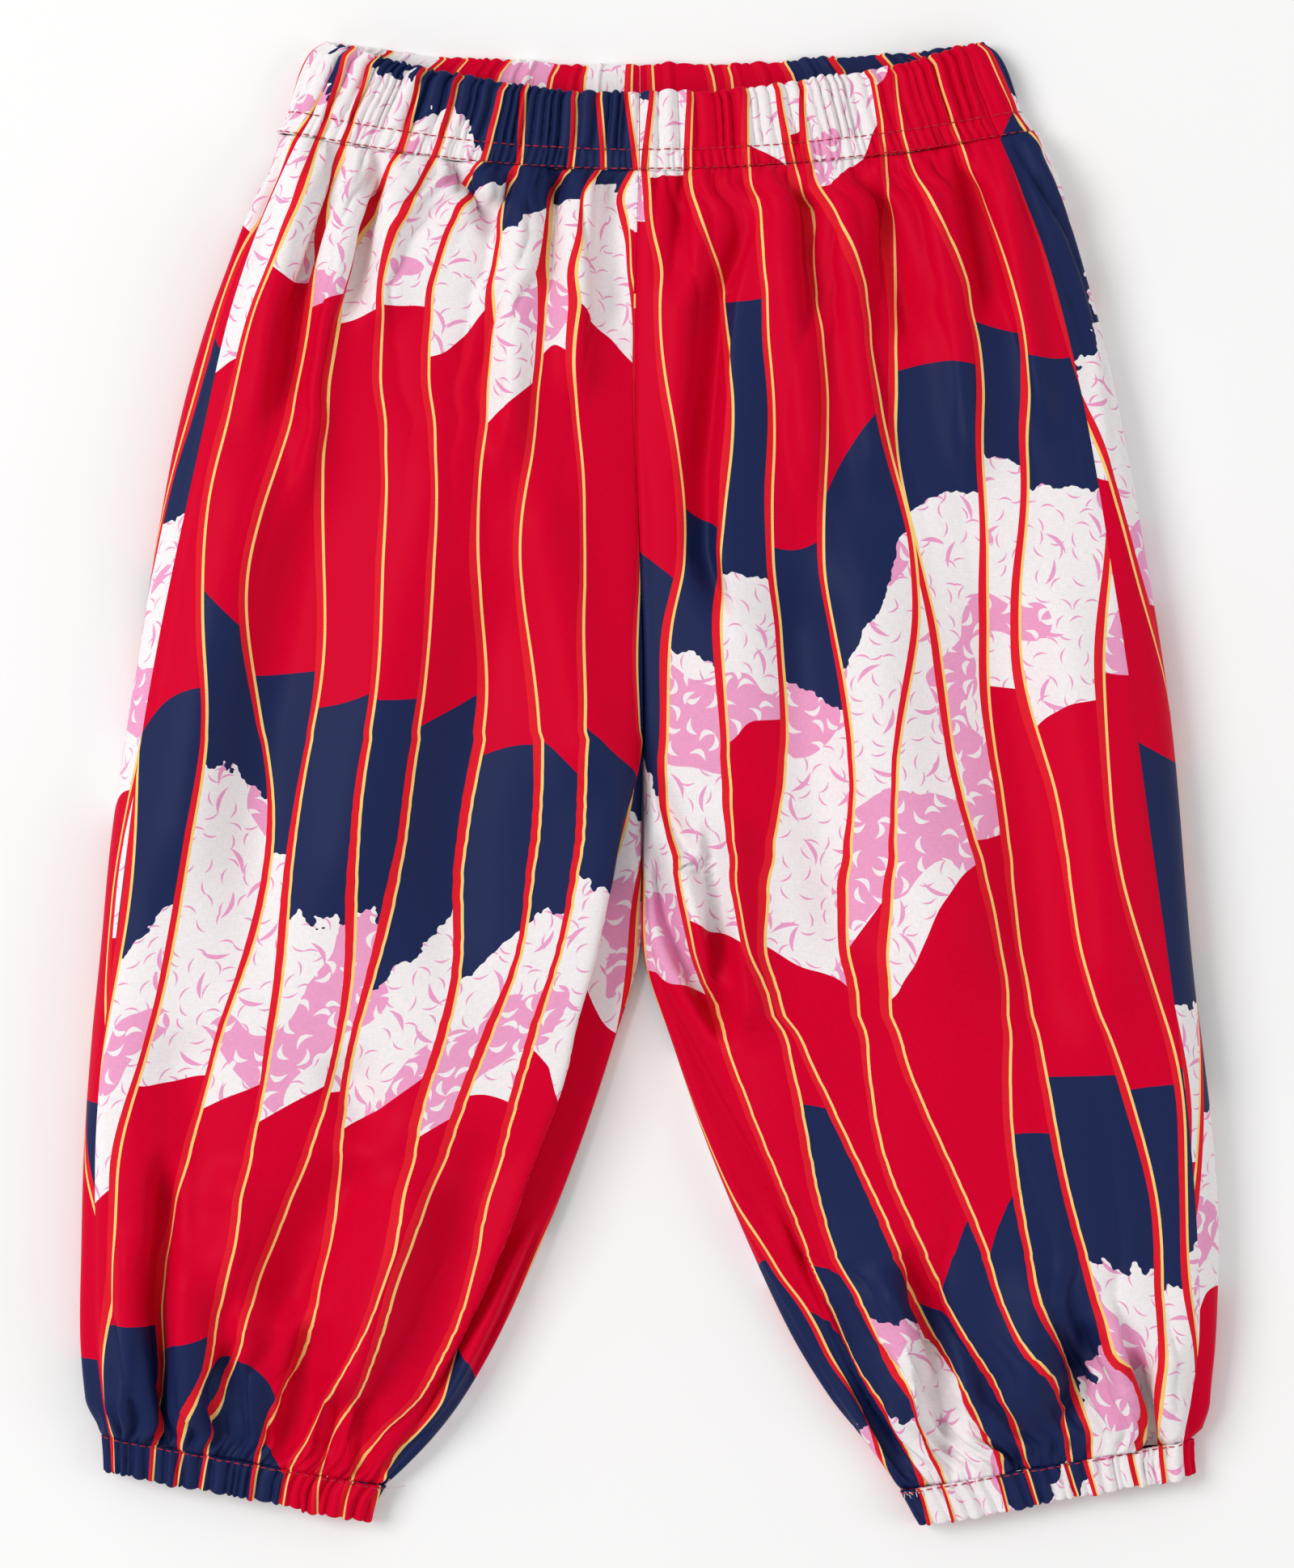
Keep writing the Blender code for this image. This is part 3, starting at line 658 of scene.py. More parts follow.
def makePanel(half, part):
    name = part + half["name"]
    seed = panels["seeds"][name]
    t = np.linspace(0, 1, panels["rows"])
    t = t - panels["rowCrowding"] * np.sin(math.tau * t)
    gap = plan["seamGap"] / 4
    high, low = plan["lowerStitching"] - gap, plan["cuffStitching"] + gap
    ys = high + (low - high) * t
    rows = readRows(half, ys, plan["frontWaistDrop"], plan["backWaistDrop"])
    unfolded = readRows(dict(half, strokes=()), ys, plan["frontWaistDrop"], plan["backWaistDrop"])
    clothLengths = unfolded[1] + plan["foldTake"] * (rows[1] - unfolded[1])
    shares = np.linspace(0, 1, panels[part + "Columns"] - 2)
    close = panels["edgeColumn"]
    shares = np.concatenate(([0.0, close], shares[1:-1], [1 - close, 1.0]))
    grid, widths, across, taken = readGrid(rows, part, shares, clothLengths)
    ways = gridNormals(grid, part)

    belowWaist = (plan["lowerStitching"] - ys)[:, None]
    aboveCuff = (ys - plan["cuffStitching"])[:, None]
    lift = gatherLift(waistGathers, belowWaist, shares, widths[0], seed)
    lift += gatherLift(cuffGathers, aboveCuff, shares, widths[-1], seed + panels["cuffSeedStep"])
    x, y = grid[:, :, 0], grid[:, :, 1]
    waves = wander(x, y, panels["undulationSize"], panels["undulationLength"], seed)
    lift += panels["undulation"] * waves
    if part == "back":
        lift += strokeLift(half["backStrokes"], x, y)
    fromEdge = np.minimum(shares[None, :], 1 - shares[None, :]) * widths[:, None]
    lift = eased(lift, fromEdge, *panels["seamEasing"]) + dip(fromEdge, *panels["seamDip"])
    lift += dip(belowWaist, *panels["stitchDip"]) + dip(aboveCuff, *panels["stitchDip"])
    grid = grid + ways * lift[:, :, None]
    keepAbove(grid, 0.0)
    printed = printMap(across, ys, taken, part, half)
    sheet, printed = turnIn(grid, ways, printed, panels, ("first", "last", "top", "bottom"))
    spot = panels["facingSpot"]
    return sheetObject(name, sheet, printed, (grid[spot], ways[spot]), panels["thickness"])


# Casings over the elastic, at the waist and at both cuffs
casings = {
    "thickness": 0.5,
    "innerRows": 10,
    "roundSteps": 5,
    "roundness": 0.8,  # of the turned edge
    "seeds": {
        "waistCasingFront": 48,
        "waistCasingBack": 46,
        "cuffLeftFront": 39,
        "cuffLeftBack": 37,
        "cuffRightFront": 42,
        "cuffRightBack": 40,
    },
    "ways": (1, 0.25, 1),  # ridges rise up more than they lean along the leg
    "bend": 0.5,  # how far the gathers sway aside
    "bendSize": 15,
    "bendLength": 21,
    "bendTimes": 2.2,
    "bendRise": 6,
    "betweenRidge": 1.7,  # fine gathers between the two rows of stitching
    "betweenCoarse": 0.4,
    "betweenFade": 2.4,
    "betweenSeedStep": 300,
    "stitchDip": (0.55, 0.9),
    "joinDip": (0.3, 0.9),
    "endDip": (0.5, 0.9),
    "endEasing": (3.0, 0.2),
    "smoothEnd": (20.0, 0.2),  # the waist's back lies smooth where it comes round to the front
    "centreDip": (0.5, 0.7),
    "centreEasing": (2, 0.6),
    "backLower": 0.5,
    "edgeWave": 1.1,
    "edgeWander": 0.5,
    "edgeWanderSize": 9,
    "edgeSeedStep": 5,
    "insideBulge": 0.8,  # the inner layer bulges inwards by this share of the ridges
    "insideHeight": 0.4,  # its least height above the floor
    "turning": 1.0,
    "turningSteps": 2,
    "facingSpot": (3, 40),
}
waistKind = {
    "wall": plan["casingWall"],
    "joined": plan["lowerStitching"],
    "edge": plan["waistTop"],
    "towards": 1,  # upwards from its stitching
    "rows": 27,
    "columns": 300,  # across one half
    "pitch": 4.2,  # above the upper stitching
    "ridge": 3.1,
    "waveReach": 5.0,
}
cuffKind = {
    "wall": plan["hemWall"],
    "joined": plan["cuffStitching"],
    "edge": plan["cuffBottom"],
    "towards": -1,
    "rows": 14,
    "columns": 180,
    "pitch": 3.6,
    "ridge": 2.7,
    "waveReach": 3.0,
}


def casingRows(half, ys, waist):
    # drops change between the stitching and the top edge
    over = (ys - plan["upperStitching"]) / (plan["waistTop"] - plan["upperStitching"])
    over = np.clip(over, 0, 1)[:, None] * (1 if waist else 0)
    frontDrop = plan["frontWaistDrop"] + (plan["frontTopDrop"] - plan["frontWaistDrop"]) * over
    backDrop = plan["backWaistDrop"] + (plan["backTopDrop"] - plan["backWaistDrop"]) * over
    return readRows(half, ys, frontDrop, backDrop, plain=True)


def makeCasing(name, halves, part, waist):
    kind = waistKind if waist else cuffKind
    wall, towards = kind["wall"], kind["towards"]
    joined = kind["joined"] + plan["seamGap"] / 4 * towards
    ys = np.linspace(joined, kind["edge"], kind["rows"])
    shares = np.linspace(0, 1, kind["columns"])
    laid = []
    for half in halves:
        rows = casingRows(half, ys, waist)
        grid, widths, across, taken = readGrid(rows, part, shares, rows[1], (0 if waist else 1, 1))
        centre = shares[None, :] * widths[:, None]
        end = (1 - shares[None, :]) * widths[:, None]
        place = shares[None, :] * widths[0] + 0 * ys[:, None]
        mirrored = waist and half["name"] == "Left"
        if mirrored:
            place = widths[0] - place
        elif waist:
            place = place + laid[0][2][0, -1]
        else:
            end = np.minimum(end, centre)
        fields = (grid, printMap(across, ys, taken, part, half), place, end, centre)
        laid.append([field[:, ::-1] if mirrored else field for field in fields])
    fields = [np.concatenate(pair, 1) for pair in zip(*laid)]
    if waist:  # the two halves meet in one line
        middle = len(shares)
        fields[0][:, middle - 1] = (fields[0][:, middle - 1] + fields[0][:, middle]) / 2
        fields = [np.delete(field, middle, 1) for field in fields]
    grid, printed, place, end, centre = fields
    ways = gridNormals(grid, part) * casings["ways"]
    ways = ways / np.linalg.norm(ways, axis=2, keepdims=True)

    seed = casings["seeds"][name]
    along = np.abs(ys - joined)[:, None]
    fullWidth = float(place.max())
    sway = wander(place, along * casings["bendTimes"], casings["bendSize"], casings["bendLength"], seed)
    bent = place + sway * casings["bend"] * soft(along / casings["bendRise"])
    coarse = ridges(bent, fullWidth, kind["pitch"], gathers["seed"] + seed)
    lift = kind["ridge"] * coarse
    if waist:
        fineSeed = gathers["seed"] + seed + casings["betweenSeedStep"]
        fine = ridges(bent, fullWidth, gathers["betweenPitch"], fineSeed)
        aboveUpper = (ys - plan["upperStitching"])[:, None]
        between = soft(-aboveUpper / casings["betweenFade"] + 0.5)
        lift = lift * (1 - between)
        lift = lift + (casings["betweenRidge"] * fine + casings["betweenCoarse"] * coarse) * between
        lift += dip(np.abs(aboveUpper), *casings["stitchDip"])
    lift += dip(along, *casings["joinDip"])
    easing = casings["smoothEnd" if waist and part == "back" else "endEasing"]
    lift = eased(lift, end, *easing) + dip(end, *casings["endDip"])
    if waist:
        lift = eased(lift, centre, *casings["centreEasing"]) + dip(centre, *casings["centreDip"])
    if part == "back":
        lift = lift - casings["backLower"]
    nearEdge = soft(1 - np.abs(kind["edge"] - ys)[:, None] / kind["waveReach"])
    edgeSway = wander(place, 0, casings["edgeWanderSize"], 1, seed + casings["edgeSeedStep"])
    crimp = casings["edgeWave"] * coarse + casings["edgeWander"] * edgeSway
    grid[:, :, 1] += towards * crimp * nearEdge
    outside = grid + ways * lift[:, :, None]
    bulge = np.maximum(lift, 0) * casings["insideBulge"]
    inside = grid - ways * wall - ways * bulge[:, :, None]
    keepAbove(outside, 0.0)
    keepAbove(inside, casings["insideHeight"])

    # the sheet runs up the outside, round the edge and down the inside
    radius = wall / 2
    turns = np.linspace(0, math.pi, casings["roundSteps"] + 2)[1:-1]
    middle = (outside[-1] + inside[-1]) / 2
    across = (outside[-1] - inside[-1]) / 2
    upward = np.zeros_like(middle)
    upward[:, 1] = towards * radius * casings["roundness"]
    ring = [middle + across * math.cos(turn) + upward * math.sin(turn) for turn in turns]
    kept = np.unique(np.rint(np.linspace(0, len(ys) - 1, casings["innerRows"])).astype(int))
    sheet = np.concatenate((outside, np.stack(ring, 0), inside[kept][::-1]), 0)
    sheetWays = np.concatenate((ways, np.repeat(ways[-1:], len(turns), 0), -ways[kept][::-1]), 0)
    ringPrint = np.repeat(printed[-1:], len(ring), 0)
    stepsUp = np.arange(1, len(ring) + 1).reshape(-1, 1) * radius * math.pi / (len(ring) + 1)
    ringPrint[:, :, 1] -= towards * stepsUp * printUnit
    innerPrint = printed[kept][::-1]
    innerPrint[:, :, 1] = 2 * ringPrint[-1, :, 1] - innerPrint[:, :, 1]
    sheetPrint = np.concatenate((printed, ringPrint, innerPrint), 0)
    sheet, sheetPrint = turnIn(sheet, sheetWays, sheetPrint, casings, ("first", "last", "top"))
    spot = casings["facingSpot"]
    seen = (outside[spot], ways[spot])
    return sheetObject(name, sheet, sheetPrint, seen, casings["thickness"]), outside, ways, ys


# Topstitching in red thread, the tacks that end one cuff's stitching and hold
# the other's, and the loose ends that are left there
stitching = {"length": 2.5, "gap": 0.45, "radius": 0.22, "raise": 0.3, "start": 0.6}
tacking = {"length": 2.1, "gap": 0.1, "radius": 0.2, "raise": 0.3, "start": 0.0}
looseEnd = {"length": 1.1, "gap": -0.75, "radius": 0.13, "raise": 0.0, "start": 0.0}
threadForm = {"segments": 6, "rings": 5, "evening": 3}


def makeStitches(name, lines, sewn):
    # each line is a run of points on the cloth with the way that the cloth faces
    model = bmesh.new()
    rings, segments = threadForm["rings"], threadForm["segments"]
    bmesh.ops.create_uvsphere(model, u_segments=segments, v_segments=rings, radius=1)
    stitch = bpy.data.meshes.new("oneStitch")
    model.to_mesh(stitch)
    model.clear()
    for points, ways in lines:
        lengths = np.concatenate(([0.0], np.cumsum(np.linalg.norm(np.diff(points, axis=0), axis=1))))

        def read(rows, place):
            return Vector([float(np.interp(place, lengths, rows[:, k])) for k in range(3)])

        place = sewn["start"]
        while place + sewn["length"] < lengths[-1]:
            end = place + sewn["length"]
            up = read(ways, (place + end) / 2).normalized()
            along = (read(points, end) - read(points, place)).normalized()
            side = up.cross(along).normalized()
            up = along.cross(side)
            turn = Matrix((along, side, up)).transposed().to_4x4()
            size = Matrix.Diagonal((sewn["length"] / 2, sewn["radius"], sewn["radius"], 1))
            centre = read(points, (place + end) / 2) + up * sewn["raise"]
            placed = Matrix.Scale(metres, 4) @ Matrix.Translation(centre) @ turn @ size
            stitch.transform(placed)
            model.from_mesh(stitch)
            stitch.transform(placed.inverted())
            place = end + sewn["gap"]
    bmesh.ops.recalc_face_normals(model, faces=model.faces)
    mesh = bpy.data.meshes.new(name)
    model.to_mesh(mesh)
    model.free()
    mesh.shade_smooth()
    return placeObject(name, mesh)


def stitchLine(outside, ways, ys, y):
    # the cloth's own line at a row of stitching, eased so that thread bridges the valleys
    place = (y - ys[0]) / (ys[-1] - ys[0]) * (len(ys) - 1)
    low = int(np.clip(math.floor(place), 0, len(ys) - 2))
    mix = place - low
    points = outside[low] * (1 - mix) + outside[low + 1] * mix
    facing = ways[low] * (1 - mix) + ways[low + 1] * mix
    return evened(points, threadForm["evening"]), facing


# Colours of the print, and its sizes in millimetres
cloth = {
    "red": (0.63, 0.0, 0.0245, 1),
    "navy": (0.0055, 0.0135, 0.075, 1),
    "white": (0.85, 0.80, 0.81, 1),
    "pink": (0.80, 0.33, 0.54, 1),
    "line": (0.72, 0.012, 0.026, 1),
    "lineEdge": (0.90, 0.60, 0.19, 1),
    "linePitch": 17.5,
    "lineSwing": 30.0,
    "lineSwingLength": 150.0,
    "lineStep": 17.31,  # how far apart in the noise two lines are read
    "lineWidth": 2.1,
    "lineWidthSwing": 3.0,
    "lineEdgeWidth": 0.9,
    "blockLength": 235.0,
    "blockShift": 100.0,
    "blockSlant": 0.32,
    "blockTurn": 1.8,
    "blockSwing": 90.0,
    "navyShare": 0.26,
    "navyRaggedness": 0.06,
    "whiteShare": 0.29,
    "whiteUnevenness": 0.05,
    "pinkAbove": 0.60,
    # noises, each as its size, its detail and how far it is moved
    "widthNoise": (60, 1, 31),
    "blockNoise": (110, 1, 7),
    "navyNoise": (7, 2, 3),
    "whiteNoise": (26, 1, 17),
    "pinkNoise": (38, 1, 71),
    # sprigs: spacing, then length, width and bend as shares of it, and how far moved
    "dashes": (6.2, 0.42, 0.05, 0.16, 0),
    "leaves": (14.0, 0.32, 0.05, 0.09, 50),
    "pinkSprigs": (6.5, 0.45, 0.13, 0.3, 90),
    "sprigScatter": 0.85,
    # how the cloth shines and its weave
    "roughness": 0.52,
    "specular": 0.03,
    "navyCoat": 0.3,  # the navy print is a little glossier than the rest
    "coatRoughness": 0.62,
    "sheen": 0.02,
    "sheenRoughness": 0.35,
    "sheenTint": (0.6, 0.45, 1.0, 1),
    "grain": 0.55,
    "grainStretch": 0.25,  # yarns are thin one way
    "grainShade": 0.24,
    "grainGloss": 0.2,
    "bumpStrength": 0.35,
    "bumpHeight": 0.00006,  # metres
}
thread = {
    "colour": (0.55, 0.005, 0.024, 1),
    "paleColour": (0.86, 0.62, 0.68, 1),
    "darker": 0.6,
    "roughness": 0.6,
    "twistScale": 2600.0,
    "bumpStrength": 0.5,
    "bumpHeight": 0.00005,  # metres
}


def fitNode(tree, node, values=(), links=()):
    for key, value in dict(values).items():
        node.inputs[key].default_value = value
    for key, socket in dict(links).items():
        tree.links.new(socket, node.inputs[key])
    return node


def addNode(tree, kind, values=(), links=(), **settings):
    node = tree.nodes.new(kind)
    for key, value in settings.items():
        setattr(node, key, value)
    return fitNode(tree, node, values, links)


def calc(tree, operation, *terms):
    node = tree.nodes.new("ShaderNodeMath")
    node.operation = operation
    for place, term in enumerate(terms):
        if isinstance(term, (int, float)):
            node.inputs[place].default_value = term
        else:
            tree.links.new(term, node.inputs[place])
    return node.outputs[0]


def blendColours(tree, mask, under, over):
    # sockets 6 and 7 of this node take the colours, and socket 2 gives the blend
    node = tree.nodes.new("ShaderNodeMix")
    node.data_type = "RGBA"
    tree.links.new(mask, node.inputs[0])
    for socket, colour in ((node.inputs[6], under), (node.inputs[7], over)):
        if isinstance(colour, tuple):
            socket.default_value = colour
        else:
            tree.links.new(colour, socket)
    return node.outputs[2]


def startGroup(name, inputs, outputs):
    # a group of shader nodes, with what it is given and what it gives
    group = bpy.data.node_groups.new(name, "ShaderNodeTree")
    for side, sockets in (("INPUT", inputs), ("OUTPUT", outputs)):
        for socket, kind in sockets.items():
            group.interface.new_socket(socket, in_out=side, socket_type="NodeSocket" + kind)
    return group, group.nodes.new("NodeGroupInput").outputs, group.nodes.new("NodeGroupOutput")


def linePlaceGroup():
    # place of one wavy line across the cloth, from its number and the place down the cloth
    inputs = {"Number": "Float", "Down": "Float"}
    group, given, out = startGroup("wavyLinePlace", inputs, {"Place": "Float"})
    down = calc(group, "DIVIDE", given["Down"], cloth["lineSwingLength"])
    seat = calc(group, "MULTIPLY_ADD", given["Number"], cloth["lineStep"], down)
    look = {"Scale": 1.0, "Detail": 1.0, "Roughness": 0.35}
    wave = addNode(group, "ShaderNodeTexNoise", noise_dimensions="1D")
    fitNode(group, wave, look, {"W": seat})
    swing = calc(group, "MULTIPLY", calc(group, "SUBTRACT", wave.outputs[0], 0.5), cloth["lineSwing"])
    place = calc(group, "MULTIPLY_ADD", given["Number"], cloth["linePitch"], swing)
    fitNode(group, out, (), {"Place": place})
    return group


def sprigGroup():
    # small curved dashes or leaves, one in each cell, turned at random
    sizes = dict.fromkeys(("Spacing", "Length", "Width", "Bend"), "Float")
    group, given, out = startGroup("scatteredSprigs", dict(sizes, Cloth="Vector"), {"Mask": "Float"})
    size = calc(group, "DIVIDE", 1.0, given["Spacing"])
    scaled = addNode(group, "ShaderNodeVectorMath", operation="SCALE")
    fitNode(group, scaled, (), {0: given["Cloth"], "Scale": size})
    cells = addNode(group, "ShaderNodeTexVoronoi", voronoi_dimensions="2D")
    look = {"Scale": 1.0, "Randomness": cloth["sprigScatter"]}
    fitNode(group, cells, look, {"Vector": scaled.outputs[0]})
    local = addNode(group, "ShaderNodeVectorMath", operation="SUBTRACT")
    fitNode(group, local, (), {0: scaled.outputs[0], 1: cells.outputs["Position"]})
    chance = addNode(group, "ShaderNodeSeparateColor", (), {"Color": cells.outputs["Color"]})
    turned = addNode(group, "ShaderNodeVectorRotate", rotation_type="Z_AXIS")
    angle = calc(group, "MULTIPLY", chance.outputs[0], math.tau)
    fitNode(group, turned, (), {"Vector": local.outputs[0], "Angle": angle})
    spot = addNode(group, "ShaderNodeSeparateXYZ", (), {"Vector": turned.outputs[0]})
    share = calc(group, "DIVIDE", calc(group, "ABSOLUTE", spot.outputs[0]), given["Length"])
    square = calc(group, "MULTIPLY", share, share)
    bent = calc(group, "SUBTRACT", spot.outputs[1], calc(group, "MULTIPLY", square, given["Bend"]))
    room = calc(group, "MULTIPLY", calc(group, "SUBTRACT", 1.0, square), given["Width"])
    mask = calc(group, "LESS_THAN", calc(group, "ABSOLUTE", bent), room)
    fitNode(group, out, (), {"Mask": mask})
    return group


def printGroup():
    # wavy pairs of lines with blocks of colour between them, sprigs on the white ones
    group, given, out = startGroup("blockPrint", {"Map": "Vector"}, {"Colour": "Color", "Coat": "Float"})
    spread = addNode(group, "ShaderNodeVectorMath", operation="SCALE")
    fitNode(group, spread, {"Scale": 1 / printUnit}, {0: given["Map"]})
    flat = addNode(group, "ShaderNodeSeparateXYZ", (), {"Vector": spread.outputs[0]})
    across, down = flat.outputs[0], flat.outputs[1]

    def movedCloth(x, y):
        return addNode(group, "ShaderNodeVectorMath", {1: (x, y, 0)}, {0: spread.outputs[0]}).outputs[0]

    def clothNoise(size, detail, move):
        node = addNode(group, "ShaderNodeTexNoise", noise_dimensions="2D")
        look = {"Scale": 1 / size, "Detail": detail}
        return fitNode(group, node, look, {"Vector": movedCloth(move, -move)}).outputs[0]

    def unsettled(noise, swing):
        # the place in a lane's cycle, moved by a noise so that borders run unevenly
        return calc(group, "MULTIPLY_ADD", calc(group, "SUBTRACT", clothNoise(*noise), 0.5), swing, cycle)

    nearestLine = calc(group, "ROUND", calc(group, "DIVIDE", across, cloth["linePitch"]))
    swing = cloth["lineWidthSwing"]
    thicker = clothNoise(*cloth["widthNoise"])
    thicker = calc(group, "MULTIPLY_ADD", thicker, swing, cloth["lineWidth"] - swing / 2)
    linePlace = linePlaceGroup()
    lane = calc(group, "SUBTRACT", nearestLine, 2.0)
    lineMask, edgeMask = None, None
    for step in (-1, 0, 1):
        place = addNode(group, "ShaderNodeGroup", node_tree=linePlace)
        number = calc(group, "ADD", nearestLine, float(step))
        fitNode(group, place, (), {"Number": number, "Down": down})
        beside = calc(group, "SUBTRACT", across, place.outputs["Place"])
        isRight = calc(group, "GREATER_THAN", beside, 0.0)
        lane = calc(group, "ADD", lane, isRight)
        inLine = calc(group, "GREATER_THAN", calc(group, "ADD", beside, thicker), 0.0)
        inLine = calc(group, "MULTIPLY", inLine, calc(group, "SUBTRACT", 1.0, isRight))
        inEdge = calc(group, "MULTIPLY", isRight, calc(group, "LESS_THAN", beside, cloth["lineEdgeWidth"]))
        lineMask = inLine if lineMask is None else calc(group, "MAXIMUM", lineMask, inLine)
        edgeMask = inEdge if edgeMask is None else calc(group, "MAXIMUM", edgeMask, inEdge)

    chance = addNode(group, "ShaderNodeTexWhiteNoise", noise_dimensions="1D")
    fitNode(group, chance, (), {"W": lane})
    chances = addNode(group, "ShaderNodeSeparateColor", (), {"Color": chance.outputs["Color"]})
    laneAcross = calc(group, "SUBTRACT", across, calc(group, "MULTIPLY", lane, cloth["linePitch"]))
    slope = calc(group, "MULTIPLY", calc(group, "SUBTRACT", chances.outputs[1], 0.5), cloth["blockTurn"])
    along = calc(group, "MULTIPLY_ADD", laneAcross, slope, down)
    for moved, share in (
        (chances.outputs[0], "blockShift"),
        (across, "blockSlant"),
        (clothNoise(*cloth["blockNoise"]), "blockSwing"),
    ):
        along = calc(group, "MULTIPLY_ADD", moved, cloth[share], along)
    cycle = calc(group, "FRACT", calc(group, "DIVIDE", along, cloth["blockLength"]))
    ragged = unsettled(cloth["navyNoise"], cloth["navyRaggedness"])
    gentle = unsettled(cloth["whiteNoise"], cloth["whiteUnevenness"])
    isNavy = calc(group, "LESS_THAN", ragged, cloth["navyShare"])
    isWhite = calc(group, "LESS_THAN", gentle, cloth["navyShare"] + cloth["whiteShare"])
    isWhite = calc(group, "MULTIPLY", isWhite, calc(group, "SUBTRACT", 1.0, isNavy))

    sprigs = sprigGroup()

    def scatter(spacing, length, width, bend, move):
        node = addNode(group, "ShaderNodeGroup", node_tree=sprigs)
        sizes = {"Spacing": spacing, "Length": length, "Width": width, "Bend": bend}
        return fitNode(group, node, sizes, {"Cloth": movedCloth(move, move)}).outputs["Mask"]

    dashes = calc(group, "MAXIMUM", scatter(*cloth["dashes"]), scatter(*cloth["leaves"]))
    isPinkGround = calc(group, "GREATER_THAN", clothNoise(*cloth["pinkNoise"]), cloth["pinkAbove"])
    pale = blendColours(group, dashes, cloth["white"], cloth["pink"])
    rosy = blendColours(group, scatter(*cloth["pinkSprigs"]), cloth["pink"], cloth["white"])
    pale = blendColours(group, isPinkGround, pale, rosy)
    colour = cloth["red"]
    for mask, over in (
        (isNavy, cloth["navy"]),
        (isWhite, pale),
        (lineMask, cloth["line"]),
        (edgeMask, cloth["lineEdge"]),
    ):
        colour = blendColours(group, mask, colour, over)
    onLine = calc(group, "MAXIMUM", lineMask, edgeMask)
    onNavy = calc(group, "MULTIPLY", isNavy, calc(group, "SUBTRACT", 1.0, onLine))
    coat = calc(group, "MULTIPLY", onNavy, cloth["navyCoat"])
    fitNode(group, out, (), {"Colour": colour, "Coat": coat})
    return group


def grainGroup():
    # fine weave, as a height and as a small change of colour and gloss
    inputs = {"Map": "Vector", "Colour": "Color"}
    outputs = {"Colour": "Color", "Height": "Float", "Roughness": "Float"}
    group, given, out = startGroup("clothGrain", inputs, outputs)
    size = 1 / printUnit / cloth["grain"]
    thin = size * cloth["grainStretch"]
    yarns = []
    for scale in ((thin, size, size), (size, thin, size)):
        moved = addNode(group, "ShaderNodeMapping", {"Scale": scale}, {"Vector": given["Map"]})
        yarn = addNode(group, "ShaderNodeTexNoise", noise_dimensions="2D")
        fitNode(group, yarn, {"Scale": 1.0, "Detail": 1.0}, {"Vector": moved.outputs[0]})
        yarns.append(yarn.outputs[0])
    height = calc(group, "MULTIPLY", calc(group, "ADD", yarns[0], yarns[1]), 0.5)
    shade, gloss = cloth["grainShade"], cloth["grainGloss"]
    tint = addNode(group, "ShaderNodeVectorMath", operation="SCALE")
    shade = calc(group, "MULTIPLY_ADD", height, shade, 1 - shade / 2)
    fitNode(group, tint, (), {0: given["Colour"], "Scale": shade})
    gloss = calc(group, "MULTIPLY_ADD", height, gloss, cloth["roughness"] - gloss / 2)
    fitNode(group, out, (), {"Colour": tint.outputs[0], "Height": height, "Roughness": gloss})
    return group


def startMaterial(name):
    material = bpy.data.materials.new(name)
    material.use_nodes = True
    tree = material.node_tree
    return material, tree, tree.nodes["Principled BSDF"]


def addBump(tree, height, sizes):
    bump = {"Strength": sizes["bumpStrength"], "Distance": sizes["bumpHeight"]}
    return addNode(tree, "ShaderNodeBump", bump, {"Height": height}).outputs[0]


def printedMaterial(name, pattern, grain):
    material, tree, shader = startMaterial(name)
    flatMap = addNode(tree, "ShaderNodeUVMap", uv_map="flatCut").outputs[0]
    printed = addNode(tree, "ShaderNodeGroup", node_tree=pattern)
    fitNode(tree, printed, (), {"Map": flatMap})
    weave = addNode(tree, "ShaderNodeGroup", node_tree=grain)
    fitNode(tree, weave, (), {"Map": flatMap, "Colour": printed.outputs["Colour"]})
    look = {
        "Specular IOR Level": cloth["specular"],
        "Coat Roughness": cloth["coatRoughness"],
        "Sheen Weight": cloth["sheen"],
        "Sheen Roughness": cloth["sheenRoughness"],
        "Sheen Tint": cloth["sheenTint"],
    }
    made = {
        "Base Color": weave.outputs["Colour"],
        "Roughness": weave.outputs["Roughness"],
        "Coat Weight": printed.outputs["Coat"],
        "Normal": addBump(tree, weave.outputs["Height"], cloth),
    }
    fitNode(tree, shader, look, made)
    return material


def threadMaterial(name, colour):
    material, tree, shader = startMaterial(name)
    place = addNode(tree, "ShaderNodeTexCoord").outputs["Object"]
    look = {"Scale": thread["twistScale"], "Detail": 2.0}
    twist = addNode(tree, "ShaderNodeTexNoise", look, {"Vector": place}).outputs[0]
    darker = tuple(value * thread["darker"] for value in colour[:3]) + (1,)
    made = {
        "Base Color": blendColours(tree, twist, darker, colour),
        "Normal": addBump(tree, twist, thread),
    }
    fitNode(tree, shader, {"Roughness": thread["roughness"]}, made)
    return material


def finishPiece(piece, material, nodes=()):
    piece.data.materials.append(material)
    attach(piece, "root")
    if nodes:
        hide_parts(*nodes)


pattern = printGroup()
grain = grainGroup()
printedCloth = printedMaterial("printedCloth", pattern, grain)
gatheredCloth = printedMaterial("gatheredCloth", pattern, grain)
redThread = threadMaterial("redThread", thread["colour"])
paleThread = threadMaterial("paleThread", thread["paleColour"])
print("materials made")

for half in (leftHalf, rightHalf):
    for part in ("front", "back"):
        piece = makePanel(half, part)
        finishPiece(piece, printedCloth, [part + "_" + half["name"].lower()])
print("panels made")

